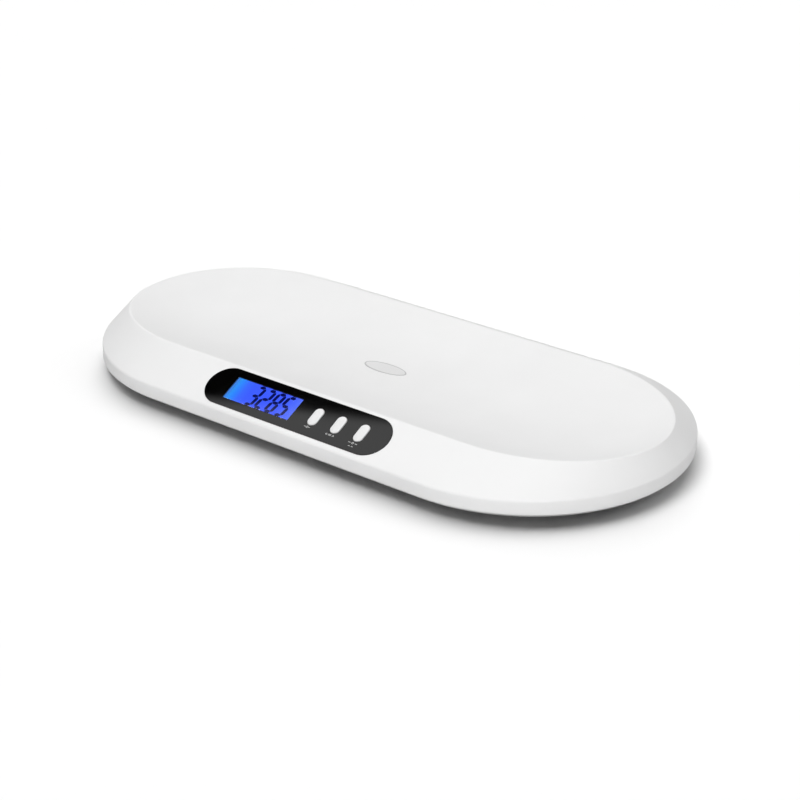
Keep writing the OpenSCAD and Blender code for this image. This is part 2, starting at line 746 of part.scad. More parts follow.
module battery_door() {
  color("white") {
    difference() {
      translate([hinge_x, box_y - door_w / 2, base_z]) cube([door_l - barrel_r, door_w, door_t]);
      for (side = [-1, 1])
        translate([door_l / 2 - tongue_l, box_y + side * (tongue_w - tongue_slit) / 2 - tongue_slit / 2,
          base_z - bite])
          cube([tongue_l + bite, tongue_slit, door_t + 2 * bite]);
    }
    translate([hinge_x, box_y, hinge_z]) rotate([90, 0, 0]) {
      cylinder(r = barrel_r, h = door_w, center = true);
      cylinder(d = hinge_pin_d, h = door_w + 2 * hinge_pin_l, center = true);
    }
    // Latch nose on the springy tongue
    translate([door_l / 2 - latch_t, box_y - tongue_w / 2 + latch_inset, base_z])
      cube([latch_t, tongue_w - 2 * latch_inset, base_t - seat_gap]);
    // Grip ribs under the tongue
    for (i = [2 : 4]) translate([door_l / 2 - grip_pitch * i, box_y - grip_l / 2, base_z - grip_h])
      cube([grip_w, grip_l, grip_h + bite]);
  }
}

// ---- Batteries and contacts ----

function battery_y(i) = box_y - box_in_w / 2 + battery_gap + battery_d / 2 + i * (battery_d + battery_gap);
// +1 where a battery's nub points to the right
function battery_turn(i) = i % 2 == 0 ? 1 : -1;
module batteries() {
  color("slategray") for (i = [0 : battery_count - 1])
    translate([battery_turn(i) * (box_in_l / 2 - contact_t), battery_y(i), battery_z])
      rotate([0, -90 * battery_turn(i), 0]) {
        cylinder(d = nub_d, h = nub_l + bite);
        translate([0, 0, nub_l]) cylinder(d = battery_d, h = battery_l - nub_l);
      }
}
// The chain of batteries starts at the right of the first and ends at the left of the last
function lug_y(side) = battery_y(side > 0 ? 0 : battery_count - 1);
module contact_plates() {
  color("silver") {
    for (i = [0 : battery_count - 1], side = [-1, 1])
      translate([side * (box_in_l / 2 - contact_t / 2), battery_y(i), battery_z])
        cube([contact_t, contact_w, contact_w], center = true);
    for (side = [-1, 1])
      translate([side * (box_in_l / 2 + (box_wall + lug_l - contact_t) / 2), lug_y(side), battery_z])
        cube([box_wall + lug_l + contact_t, lug_w, contact_t], center = true);
  }
}
module contact_springs() {
  color("silver") for (i = [0 : battery_count - 1])
    translate([-battery_turn(i) * (box_in_l / 2 - contact_t), battery_y(i), battery_z])
      rotate([0, 90 * battery_turn(i), 0])
        tube([for (s = [0 : spring_turns * spring_steps])
          [spring_r * cos(360 * s / spring_steps), spring_r * sin(360 * s / spring_steps),
            lerp(spring_wire_r + spring_end_gap, spring_l - spring_wire_r - spring_end_gap,
              s / (spring_turns * spring_steps))]],
          spring_wire_r, 6, [0, 0, 1]);
}

// ---- Weighing feet ----

module foot() {
  color("lightgray") difference() {
    union() {
      disc(foot_d / 2, foot_bottom, lip_bottom + bite);
      disc(lip_r, lip_bottom, lip_top);
      disc(foot_boss_r, lip_top - bite, foot_boss_top);
    }
    disc(pad_r + slide_gap, foot_bottom - bite, pad_t + fit_gap);
    // Hollow with a thick middle that saves plastic
    difference() {
      disc(foot_d / 2 - foot_wall, pad_t, lip_bottom);
      disc(foot_core_r, pad_t - bite, lip_bottom + bite);
    }
  }
}
module foot_pad() {
  color("dimgray") difference() {
    disc(pad_r, 0, pad_t);
    for (r = pad_groove_r) difference() {
      disc(r + pad_groove_w / 2, -bite, pad_groove_depth);
      disc(r - pad_groove_w / 2, -2 * bite, pad_groove_depth + bite);
    }
  }
}
// Square steel plate with a slot that leaves a tongue in its middle
module load_cell() {
  color("silver") {
    difference() {
      translate([0, 0, cell_bottom]) linear_extrude(cell_t) rounded_square(cell_w, cell_corner_r);
      difference() {
        translate([0, 0, cell_bottom - bite]) linear_extrude(cell_t + 2 * bite)
          square(cell_w * cell_slot_out, center = true);
        translate([0, 0, cell_bottom - 2 * bite]) linear_extrude(cell_t + 4 * bite)
          square(cell_w * cell_slot_in, center = true);
        translate([-tongue_neck / 2, 0, cell_bottom - 2 * bite])
          cube([tongue_neck, cell_w / 2, cell_t + 4 * bite]);
      }
    }
    translate([-gauge_w / 2, gauge_y, cell_top - fit_gap]) cube([gauge_w, gauge_l, gauge_t + fit_gap]);
  }
}
module cell_holder() {
  color("lightgray") {
    difference() {
      union() {
        disc(holder_out_r, base_top, cell_top + holder_roof);
        for (side = [-1, 1]) {
          translate([0, side * holder_ear, 0]) disc(ear_w / 2, post_top, post_top + ear_t);
          translate([-ear_w / 2, side > 0 ? holder_in_r + 1 : -holder_ear, post_top])
            cube([ear_w, holder_ear - holder_in_r - 1, ear_t]);
        }
      }
      disc(holder_in_r, base_top - bite, cell_top);
      disc(cell_w * roof_hole, cell_top - bite, cell_top + holder_roof + bite);
      // Slots for the lead at the two sides
      translate([0, 0, cell_top - cell_t])
        cube([3 * holder_out_r, holder_slot_w, holder_slot_h], center = true);
      for (side = [-1, 1]) translate([0, side * holder_ear, 0])
        disc(holder_screw_d / 2 + slide_gap, post_top - bite, post_top + ear_t + bite);
    }
    // Hooks that keep the cell in when the scale is lifted
    hook_bottom = cell_bottom - slide_gap - hook_lip_t;
    for (angle = [45, 135, 225, 315]) rotate(angle) translate([hook_r, -hook_w / 2, hook_bottom]) {
      cube([holder_in_r - hook_r + 1, hook_w, cell_top - hook_bottom + bite]);
      translate([-hook_reach, 0, 0]) cube([hook_reach + bite, hook_w, hook_lip_t]);
    }
  }
}
module holder_screws() {
  color("silver") at_feet() for (side = [-1, 1]) translate([0, side * holder_ear, 0]) {
    disc(holder_screw_d / 2 - thread_gap, holder_screw_tip_z, post_top + ear_t + bite);
    disc(holder_screw_head_d / 2, post_top + ear_t, post_top + ear_t + holder_screw_head_h);
  }
}
module housing_screws() {
  color("silver") for (at = housing_screws_at) translate([at[0], at[1], base_z + screw_sink]) {
    disc(screw_head_d / 2, -screw_head_h, 0);
    disc(screw_d / 2 - thread_gap, -bite, screw_l);
  }
}

// ---- Leads ----

function route(points, side) = [for (p = points) [-side * p[0], p[1], lead_z]];
function from_cell(x, y) =
  [[x * cell_edge_x, y * foot_y, cell_lead_z], [x * (cell_edge_x - cell_lead_out), y * foot_y, cell_lead_z]];
// Last stretch of a lead: the smooth path ends short of the socket and then runs straight into it
function socket_point(i, shift, below) =
  slope_point(socket_x[i] + shift, socket_v, board_bottom - socket_h - below);
function lead_path(start, middle, i, shift) = concat([start[0]],
  smooth_path(concat([lerp(start[0], start[1], 0.5), start[1]], middle,
    [socket_point(i, shift, socket_straight)])),
  [socket_point(i, shift, 0)]);
module cell_lead(x, y, points, socket) {
  tube(lead_path(from_cell(x, y), route(points, x), socket, 0), lead_r, lead_sides, [0, 0, 1]);
}
module load_cell_leads() {
  color("gray") {
    cell_lead(-1, -1, front_route, 0);
    cell_lead(-1, 1, rear_route, 1);
    cell_lead(1, 1, rear_route, 2);
    cell_lead(1, -1, front_route, 3);
  }
}
function from_lug(side) = [for (out = [0, lug_lead_out])
  [side * (box_in_l / 2 + box_wall + lug_l + out), lug_y(side), battery_z]];
module battery_lead(side, points) {
  tube(lead_path(from_lug(side), points, 4, side * battery_lead_apart), battery_lead_r, lead_sides,
    [0, 0, 1]);
}
module battery_leads() {
  color("firebrick") {
    battery_lead(1, right_route);
    battery_lead(-1, left_route);
  }
}

// Puts a child at one foot
module at_foot(x, y) {
  translate([x * foot_x, y * foot_y, 0]) children();
}
// The load cell's neck points towards the middle of the scale
module cell_at(x, y) {
  at_foot(x, y) rotate(x > 0 ? 90 : -90) load_cell();
}

top_shell();
tray_badge();
console_panel();
display_window();
lcd_glass();
lcd_frame();
backlight_guide();
backlight_led();
elastomer_strip();
main_board();
controller_chip();
lead_sockets();
board_screws();
switch(0);  // switch_left
switch(1);  // switch_middle
switch(2);  // switch_right
plunger(0);  // plunger_left
plunger(1);  // plunger_middle
plunger(2);  // plunger_right
button(0);  // button_left
button(1);  // button_middle
button(2);  // button_right
base_shell();
cell_at(-1, -1);  // load_cell_front_left
cell_at(1, -1);  // load_cell_front_right
cell_at(-1, 1);  // load_cell_rear_left
cell_at(1, 1);  // load_cell_rear_right
at_foot(-1, -1) cell_holder();  // cell_holder_front_left
at_foot(1, -1) cell_holder();  // cell_holder_front_right
at_foot(-1, 1) cell_holder();  // cell_holder_rear_left
at_foot(1, 1) cell_holder();  // cell_holder_rear_right
at_foot(-1, -1) foot();  // foot_front_left
at_foot(1, -1) foot();  // foot_front_right
at_foot(-1, 1) foot();  // foot_rear_left
at_foot(1, 1) foot();  // foot_rear_right
at_foot(-1, -1) foot_pad();  // foot_pad_front_left
at_foot(1, -1) foot_pad();  // foot_pad_front_right
at_foot(-1, 1) foot_pad();  // foot_pad_rear_left
at_foot(1, 1) foot_pad();  // foot_pad_rear_right
holder_screws();
housing_screws();
battery_door();
batteries();
contact_plates();
contact_springs();
load_cell_leads();
battery_leads();
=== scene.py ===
import json
import math
import bmesh
import bpy
import numpy as np
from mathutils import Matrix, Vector


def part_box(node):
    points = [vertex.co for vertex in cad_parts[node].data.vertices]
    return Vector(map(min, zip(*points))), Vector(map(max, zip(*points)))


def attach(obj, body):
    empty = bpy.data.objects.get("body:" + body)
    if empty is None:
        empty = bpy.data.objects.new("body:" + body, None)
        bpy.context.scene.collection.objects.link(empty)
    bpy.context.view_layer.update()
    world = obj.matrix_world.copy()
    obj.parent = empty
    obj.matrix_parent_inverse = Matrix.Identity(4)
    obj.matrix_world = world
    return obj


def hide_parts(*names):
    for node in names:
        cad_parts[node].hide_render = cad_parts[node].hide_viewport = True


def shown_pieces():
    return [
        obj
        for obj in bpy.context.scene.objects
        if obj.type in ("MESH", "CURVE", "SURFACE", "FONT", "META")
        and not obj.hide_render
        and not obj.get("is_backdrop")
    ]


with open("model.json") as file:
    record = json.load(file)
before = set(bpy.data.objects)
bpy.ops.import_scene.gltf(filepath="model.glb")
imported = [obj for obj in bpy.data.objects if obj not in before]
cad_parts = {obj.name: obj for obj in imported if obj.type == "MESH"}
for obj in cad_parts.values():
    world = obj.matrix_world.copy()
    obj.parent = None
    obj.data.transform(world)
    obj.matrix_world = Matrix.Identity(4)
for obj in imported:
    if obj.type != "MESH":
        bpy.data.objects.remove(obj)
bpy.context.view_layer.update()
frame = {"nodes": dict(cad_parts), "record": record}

# Everything below is in millimetres, in the frame's own axes. make_piece turns it into metres.
MM = 0.001


def corners(node):
    low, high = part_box(node)
    return np.array(low) / MM, np.array(high) / MM


# ---- Sizes of the upper housing ----

shell_low, shell_high = corners("top_shell")
RIM_R = shell_high[1]
RIM_STRAIGHT = shell_high[0] - RIM_R
RIM_LIFT = shell_low[2]
RIM_H = 11.1
BAND_ANGLE = math.radians(26.64)
BAND_RUN_SIDE = 41.3
BAND_RUN_END = 12.2
CREST_DIP = 2.5
EDGE_ROUND = 1.6
FOOT_EDGE_ROUND = 0.5
TRAY_DEPTH = 14.6
TRAY_END_L = 113
WALL = 2.5
RIM_TOP = RIM_LIFT + RIM_H
CREST_HALF_W = RIM_R - BAND_RUN_SIDE
CREST_STRAIGHT = RIM_STRAIGHT + RIM_R - BAND_RUN_END - TRAY_END_L
CREST_Z = RIM_TOP + BAND_RUN_SIDE * math.tan(BAND_ANGLE)
TIP_Z = CREST_Z - CREST_DIP
TRAY_Z = CREST_Z - TRAY_DEPTH
ARC_STEPS = 96
DISH_STEPS = 40
INNER_STEPS = 12
ROUND_STEPS = 8
FOOT_EDGE_STEPS = 3
SUPPORT = 0.5
# How far a cutter runs past what it cuts, and how deep a joined post is sunk
CUT_PAST = 1
POST_SINK = 0.5

# ---- Sizes of the console, in the slope's own directions ----

panel_low, panel_high = corners("console_panel")
CONSOLE_X = (panel_low[0] + panel_high[0]) / 2
CONSOLE_L = panel_high[0] - panel_low[0]
CONSOLE_W = 37.8
CONSOLE_V = 24.2
CONSOLE_STEPS = 40
PANEL_TOP = 0.3
PANEL_BED = -1.3
PANEL_GAP = 0.1
PANEL_EDGE_R = 0.28
POCKET_MOUTH_R = 0.35
POCKET_CUT_H = 2
PAD_BOTTOM = -3.5
PAD_MARGIN = 1.8
WINDOW_X = (corners("display_window")[0][0] + corners("display_window")[1][0]) / 2
WINDOW_L = 68.9
WINDOW_W = 22.7
WINDOW_GAP = 0.15
WINDOW_TOP = 0.25
WINDOW_CORNER = 0.4
WINDOW_EDGE_R = 0.12
WINDOW_HOLE_R = 0.1
GLASS_L = 72.5
GLASS_W = 29
GLASS_TOP = -1.6
GLASS_BOTTOM = -4.4
GLASS_GAP = 0.3
GLASS_CORNER = 0.5
GLASS_CHAMFER = 0.2
BUTTON_X = [(corners(f"button_{side}")[0][0] + corners(f"button_{side}")[1][0]) / 2
            for side in ("left", "middle", "right")]
BUTTON_W = 8.6
BUTTON_H = 17.2
BUTTON_GAP = 0.3
BUTTON_TOP = 1.2
BUTTON_CROWN = 0.35
BUTTON_EDGE_R = 0.55
BUTTON_HOLE_R = 0.15
FLANGE_LIP = 1.5
FLANGE_BOTTOM = -2.6
FLANGE_TOP = -1.6
FLANGE_CHAMFER = 0.15
BOARD_TOP = -7.2
BOARD_POST_D = 5
BOARD_SCREW_D = 2
BOARD_BORE_H = 3.5
BOARD_POST_V = 16
BOARD_POST_IN = 3
SWITCH_W = 6
board_low, board_high = corners("main_board")
BOARD_POST_X = [board_low[0] + BOARD_POST_IN,
                (corners("lcd_frame")[1][0] + BUTTON_X[0] - SWITCH_W) / 2,
                board_high[0] - BOARD_POST_IN]

# ---- Sizes of the badge, the screws and the battery box ----

BADGE_L = 42
BADGE_W = 17
BADGE_T = 0.8
BADGE_TOP = TRAY_Z + 0.25
BADGE_GAP = 0.1
BADGE_EDGE_R = 0.18
BADGE_MOUTH_R = 0.2
BADGE_MOUTH_TOP = TRAY_Z + 0.02
BADGE_CUT_TOP = TRAY_Z + 4
# The border's width, the step from it down to the sunk field, and how deep the field's faces lie at most
BADGE_RIM = 1.2
BADGE_STEP = [(-1.0, 0), (-1.25, -0.14), (-1.6, -0.16)]
BADGE_FIELD_DEPTH = 0.3
BATTERY_END_GAP = 6.4
SCREW_PLACES = ((110, 85), (222, 40))
SCREW_AT = [(x * along, y * across) for along, across in SCREW_PLACES for x in (-1, 1) for y in (-1, 1)]
SCREW_HEAD_D = 5.6
SCREW_HEAD_Z = (7.9, 9.9)
SCREW_END_Z = 25.9
SCREW_D = 3
POST_R = 3.5
POST_TOP = 14
FEET = ("front_left", "front_right", "rear_left", "rear_right")


# ---- Points and rings ----

def slope_points(outline, w):
    """Points on the front slope, from (along the scale, up the slope) and a distance out of it."""
    x, v = outline[:, 0], outline[:, 1]
    y = -RIM_R + v * math.cos(BAND_ANGLE) - w * math.sin(BAND_ANGLE)
    z = RIM_TOP + v * math.sin(BAND_ANGLE) + w * math.cos(BAND_ANGLE)
    return np.column_stack([x, y, z])


def level_points(outline, z):
    return np.column_stack([outline, np.full(len(outline), z)])


MIN_CORNER = 0.01


def oblong(x, y, length, width, grow, steps=24):
    """Outline with round ends, standing or lying, grown outwards by a distance."""
    r = min(length, width) / 2
    run = abs(length - width) / 2
    angles = np.radians(np.linspace(-90, 90, steps + 1))
    half = np.column_stack([run + (r + grow) * np.cos(angles), (r + grow) * np.sin(angles)])
    points = np.concatenate([half, -half])
    if width > length:
        points = points[:, ::-1] * [-1, 1]
    return points + [x, y]


def rectangle(x, y, length, width, grow=0.0, corner=MIN_CORNER, steps=6):
    """Outline of a rectangle with rounded corners, grown outwards by a distance."""
    r = max(corner + grow, MIN_CORNER)
    reach = np.array([length / 2 - corner, width / 2 - corner])
    points = []
    for turn, sign in enumerate([(1, -1), (1, 1), (-1, 1), (-1, -1)]):
        for angle in np.radians(np.linspace(-90, 0, steps + 1) + 90 * turn):
            points.append(reach * sign + r * np.array([math.cos(angle), math.sin(angle)]))
    return np.array(points) + [x, y]


def circle(x, y, r, steps=48):
    angles = np.radians(np.arange(steps) * 360 / steps)
    return np.column_stack([x + r * np.cos(angles), y + r * np.sin(angles)])


def oval(length, width, grow, steps=120):
    angles = np.radians(np.arange(steps) * 360 / steps)
    return np.column_stack([(length / 2 + grow) * np.cos(angles), (width / 2 + grow) * np.sin(angles)])


def loft(rings, closed_ends=True):
    """Vertices and faces of a skin over rings of equal count, from the lowest up."""
    count = len(rings[0])
    faces = []
    for i in range(len(rings) - 1):
        for k in range(count):
            a, b = i * count + k, i * count + (k + 1) % count
            faces.append((a, b, b + count, a + count))
    if closed_ends:
        faces.append(tuple(reversed(range(count))))
        last = (len(rings) - 1) * count
        faces.append(tuple(range(last, last + count)))
    return np.concatenate(rings), faces


def join(*solids):
    """Several solids as one list of vertices and one of faces."""
    points, faces = [], []
    start = 0
    for some_points, some_faces in solids:
        points.append(some_points)
        faces += [tuple(start + i for i in face) for face in some_faces]
        start += len(some_points)
    return np.concatenate(points), faces


def slope_solid(outline_of, profile):
    """Solid on the slope from pairs of (outline's growth, distance out of the slope)."""
    return loft([slope_points(outline_of(grow), w) for grow, w in profile])


def level_solid(outline_of, profile):
    return loft([level_points(outline_of(grow), z) for grow, z in profile])


def rounded_edge(grow, level, r, steps=5):
    """Quarter round that ends a wall at a level: from the wall below it in to the top."""
    angles = np.radians(np.linspace(0, 90, steps + 1))
    return [(grow - r + r * math.cos(a), level - r + r * math.sin(a)) for a in angles]


# ---- Objects ----

def make_piece(name, solid):
    """Object in metres from a solid in millimetres."""
    points, faces = solid
    mesh = bpy.data.meshes.new(name)
    mesh.from_pydata((np.asarray(points) * MM).tolist(), [], faces)
    mesh.update()
    piece = bpy.data.objects.new(name, mesh)
    bpy.context.scene.collection.objects.link(piece)
    return piece


def shade(piece, sharp_angle=30, weighted=True):
    """Smooth shading with sharp edges by angle; large faces keep their own direction."""
    piece.data.shade_smooth()
    piece.data.set_sharp_from_angle(angle=math.radians(sharp_angle))
    if weighted:
        modifier = piece.modifiers.new("Weighted normals", "WEIGHTED_NORMAL")
        modifier.keep_sharp = True


def carve(piece, other, operation):
    """Joins another closed solid to a piece or cuts it out."""
    tool = make_piece("tool", other)
    modifier = piece.modifiers.new("Carve", "BOOLEAN")
    modifier.object = tool
    modifier.operation = operation
    modifier.solver = "MANIFOLD"
    result = bpy.data.meshes.new_from_object(piece.evaluated_get(bpy.context.evaluated_depsgraph_get()))
    piece.modifiers.clear()
    old = piece.data
    piece.data = result
    bpy.data.meshes.remove(old)
    bpy.data.objects.remove(tool)


def place(piece, body, slot, *nodes):
    """Ties a piece to the body it rides on and hides the nodes it stands for. The slot argument is not
    used.
    """
    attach(piece, body)
    if nodes:
        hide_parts(*nodes)


# ---- Materials ----

def new_material(name, colour, roughness, metallic=0.0, specular=0.5, ior=1.5):
    material = bpy.data.materials.new(name)
    material.use_nodes = True
    shader = material.node_tree.nodes["Principled BSDF"]
    shader.inputs["Base Color"].default_value = (*colour, 1)
    shader.inputs["Roughness"].default_value = roughness
    shader.inputs["Metallic"].default_value = metallic
    shader.inputs["Specular IOR Level"].default_value = specular
    shader.inputs["IOR"].default_value = ior
    return material, shader


def add_node(material, kind, **values):
    node = material.node_tree.nodes.new(kind)
    for key, value in values.items():
        if key in node.inputs:
            node.inputs[key].default_value = value
        else:
            setattr(node, key, value)
    return node


def object_noise(material, scale, detail, stretch=(1, 1, 1)):
    """Noise in the object's own coordinates; scale is in features per metre."""
    where = add_node(material, "ShaderNodeTexCoord")
    mapping = add_node(material, "ShaderNodeMapping")
    mapping.inputs["Scale"].default_value = stretch
    noise = add_node(material, "ShaderNodeTexNoise", Scale=scale, Detail=detail)
    material.node_tree.links.new(where.outputs["Object"], mapping.inputs["Vector"])
    material.node_tree.links.new(mapping.outputs["Vector"], noise.inputs["Vector"])
    return noise.outputs["Fac"]


# The share of a noise's range that most of it lies in
NOISE_LOW = 0.3
NOISE_HIGH = 0.7


def vary_colour(material, shader, factor, dark, light):
    ramp = add_node(material, "ShaderNodeValToRGB")
    for element, position, colour in zip(ramp.color_ramp.elements, (NOISE_LOW, NOISE_HIGH), (dark, light)):
        element.position = position
        element.color = (*colour, 1)
    material.node_tree.links.new(factor, ramp.inputs["Fac"])
    material.node_tree.links.new(ramp.outputs["Color"], shader.inputs["Base Color"])


def vary_roughness(material, shader, factor, low, high):
    spread = add_node(material, "ShaderNodeMapRange")
    spread.inputs["From Min"].default_value = NOISE_LOW
    spread.inputs["From Max"].default_value = NOISE_HIGH
    spread.inputs["To Min"].default_value = low
    spread.inputs["To Max"].default_value = high
    material.node_tree.links.new(factor, spread.inputs["Value"])
    material.node_tree.links.new(spread.outputs["Result"], shader.inputs["Roughness"])


def add_bump(material, shader, height, strength, distance):
    bump = add_node(material, "ShaderNodeBump", Strength=strength, Distance=distance)
    material.node_tree.links.new(height, bump.inputs["Height"])
    material.node_tree.links.new(bump.outputs["Normal"], shader.inputs["Normal"])


def moulded(name, colour, roughness, grain=1400.0, relief=0.00002, strength=0.12, specular=0.5):
    """Moulded plastic: a fine grain, slight mottling of colour and uneven gloss."""
    material, shader = new_material(name, colour, roughness, specular=specular)
    colour = np.array(colour)
    mottle = object_noise(material, scale=14, detail=4)
    gloss = object_noise(material, scale=60, detail=5)
    vary_colour(material, shader, mottle, dark=colour * 0.985, light=np.minimum(colour * 1.015, 1))
    vary_roughness(material, shader, gloss, low=roughness - 0.04, high=roughness + 0.05)
    add_bump(material, shader, object_noise(material, grain, detail=2), strength, relief)
    return material


def metal(name, colour, roughness, scale=900.0):
    """Metal with fine rolling marks and faint stains."""
    material, shader = new_material(name, colour, roughness, metallic=1.0)
    colour = np.array(colour)
    stains = object_noise(material, scale=120, detail=4)
    marks = object_noise(material, scale, detail=3)
    vary_colour(material, shader, stains, dark=colour * 0.9, light=np.minimum(colour * 1.04, 1))
    vary_roughness(material, shader, marks, low=roughness - 0.06, high=roughness + 0.1)
    add_bump(material, shader, object_noise(material, scale, detail=2), strength=0.2, distance=0.00003)
    return material


def gloss_black():
    """Polished black acrylic with the faintest wiping haze."""
    material, shader = new_material("console_black", (0.001, 0.001, 0.001), 0.04, specular=0.95)
    wiping = object_noise(material, scale=25, detail=6, stretch=(1, 2.5, 1))
    vary_colour(material, shader, object_noise(material, scale=40, detail=4), (0.0006,) * 3, (0.0012,) * 3)
    vary_roughness(material, shader, wiping, low=0.03, high=0.06)
    return material


def clear_window():
    """Clear acrylic with the faintest haze."""
    material, shader = new_material("window_clear", (0.98, 0.99, 1.0), 0.01, ior=1.49)
    shader.inputs["Transmission Weight"].default_value = 1.0
    vary_roughness(material, shader, object_noise(material, scale=30, detail=5), low=0.0, high=0.02)
    return material


# Colours of the lit display from its left end, by share of the window's length
LCD_GLOW = [(0.0, (0.05, 0.20, 0.60)), (0.045, (0.03, 0.33, 0.90)), (0.10, (0.03, 0.25, 1.0)),
            (0.17, (0.048, 0.155, 1.0)), (0.27, (0.048, 0.115, 1.0)), (0.75, (0.05, 0.11, 1.0)),
            (1.0, (0.10, 0.18, 0.90))]


def backlit_blue():
    """Side-lit display face: saturated blue, cyan by the light source at its left end."""
    material, shader = new_material("display_blue", (0.01, 0.02, 0.2), 0.35, specular=0.0)
    links = material.node_tree.links
    where = add_node(material, "ShaderNodeTexCoord")
    parts = add_node(material, "ShaderNodeSeparateXYZ")
    links.new(where.outputs["Object"], parts.inputs["Vector"])
    glow = add_node(material, "ShaderNodeValToRGB")
    along = add_node(material, "ShaderNodeMapRange")
    along.inputs["From Min"].default_value = (WINDOW_X - WINDOW_L / 2) * MM
    along.inputs["From Max"].default_value = (WINDOW_X + WINDOW_L / 2) * MM
    links.new(parts.outputs["X"], along.inputs["Value"])
    links.new(along.outputs["Result"], glow.inputs["Fac"])
    stops = glow.color_ramp.elements
    stops[0].color = (*LCD_GLOW[0][1], 1)
    stops[1].color = (*LCD_GLOW[-1][1], 1)
    for position, colour in LCD_GLOW[1:-1]:
        stops.new(position).color = (*colour, 1)
    mottle = add_node(material, "ShaderNodeMixRGB", blend_type="MULTIPLY")
    mottle.inputs["Fac"].default_value = 0.12
    links.new(glow.outputs["Color"], mottle.inputs["Color1"])
    links.new(object_noise(material, scale=60, detail=3), mottle.inputs["Color2"])
    links.new(mottle.outputs["Color"], shader.inputs["Emission Color"])
    shader.inputs["Emission Strength"].default_value = 1.05
    return material


def digit_ink():
    """Dark segments of the display, with a little of the blue light behind them."""
    material, shader = new_material("digit_ink", (0.001, 0.001, 0.01), 0.6, specular=0.0)
    vary_colour(material, shader, object_noise(material, scale=300, detail=2),
                dark=(0.0008, 0.001, 0.008), light=(0.001, 0.0015, 0.012))
    shader.inputs["Emission Color"].default_value = (0.0003, 0.002, 0.085, 1)
    shader.inputs["Emission Strength"].default_value = 1.0
    return material


materials = {
    "housing_white": moulded("housing_white", (0.83, 0.83, 0.83), 0.55, specular=0.35),
    "badge_grey": moulded("badge_grey", (0.54, 0.54, 0.54), 0.4, grain=2500.0),
    "badge_field": moulded("badge_field", (0.765, 0.765, 0.765), 0.4, grain=2500.0),
    "console_black": gloss_black(),
    "window_clear": clear_window(),
    "display_blue": backlit_blue(),
    "frame_ivory": moulded("frame_ivory", (0.75, 0.72, 0.63), 0.5),
    "guide_clear": moulded("guide_clear", (0.72, 0.82, 0.88), 0.15),
    "led_blue": moulded("led_blue", (0.25, 0.62, 0.85), 0.3),
    "rubber_dark": moulded("rubber_dark", (0.045, 0.045, 0.047), 0.75, grain=900.0, relief=0.00008,
                           strength=0.35),
    "board_green": moulded("board_green", (0.012, 0.11, 0.045), 0.32, grain=700.0),
    "chip_black": moulded("chip_black", (0.02, 0.02, 0.021), 0.5, grain=2500.0),
    "steel": metal("steel", (0.62, 0.62, 0.64), 0.32),
    "nickel": metal("nickel", (0.72, 0.69, 0.64), 0.22, scale=2200.0),
    "button_white": moulded("button_white", (0.78, 0.78, 0.78), 0.35, grain=2500.0, strength=0.06),
    "base_white": moulded("base_white", (0.78, 0.78, 0.78), 0.5, grain=900.0, relief=0.00005, strength=0.3),
    "holder_grey": moulded("holder_grey", (0.5, 0.5, 0.51), 0.45),
    "foot_grey": moulded("foot_grey", (0.52, 0.52, 0.53), 0.5, grain=900.0, relief=0.00005, strength=0.3),
    "battery_jacket": moulded("battery_jacket", (0.035, 0.045, 0.055), 0.22),
    "battery_band": metal("battery_band", (0.72, 0.42, 0.20), 0.28),
    "lead_grey": moulded("lead_grey", (0.30, 0.30, 0.31), 0.5),
    "lead_red": moulded("lead_red", (0.45, 0.03, 0.025), 0.4),
}


def dress(piece, name):
    piece.data.materials.clear()
    piece.data.materials.append(materials[name])


# ---- Upper housing ----

# A ring of the shell is its straight half length, the reach of its ends and sides past the middle line,
# and its height at the sides and at the tips. These two pick out the heights and the reaches.
HEIGHT = np.array([0, 0, 0, 1, 1])
REACH = np.array([0, 1, 1, 0, 0])


def mix(a, b, t):
    return a + (b - a) * t


def dish_ring(rho):
    """Ring of the tray's dish, from 0 at its middle line to 1 at the crest."""
    return np.array([CREST_STRAIGHT, TRAY_END_L * rho, CREST_HALF_W * rho,
                     mix(TRAY_Z, CREST_Z, rho * rho), mix(TRAY_Z, TIP_Z, rho * rho)])


def curve_rings(before, at, after, steps=ROUND_STEPS):
    """Rings that round a corner: a curve from one ring to another, bent towards the corner's own."""
    return [(1 - t) ** 2 * before + 2 * t * (1 - t) * at + t * t * after
            for t in np.linspace(0, 1, steps + 1)]


def outer_rings():
    """Rings over the outside, from the lower edge's inside up, over the crest and down to the tray."""
    low = np.array([RIM_STRAIGHT, RIM_R, RIM_R, RIM_LIFT, RIM_LIFT])
    rim = low + RIM_H * HEIGHT
    crest = dish_ring(1)
    share = EDGE_ROUND / BAND_RUN_SIDE
    support = SUPPORT / BAND_RUN_SIDE
    crest_rho = 1 - EDGE_ROUND / CREST_HALF_W
    rings = curve_rings(low - FOOT_EDGE_ROUND * REACH, low, low + FOOT_EDGE_ROUND * HEIGHT,
                        FOOT_EDGE_STEPS)
    rings.append(rim - (EDGE_ROUND + SUPPORT) * HEIGHT)
    rings += curve_rings(rim - EDGE_ROUND * HEIGHT, rim, mix(rim, crest, share))
    rings += [mix(rim, crest, share + support), mix(crest, rim, share + support)]
    rings += curve_rings(mix(crest, rim, share), crest, dish_ring(crest_rho))
    rings += [dish_ring(crest_rho * i / DISH_STEPS) for i in range(DISH_STEPS - 1, 0, -1)]
    return rings


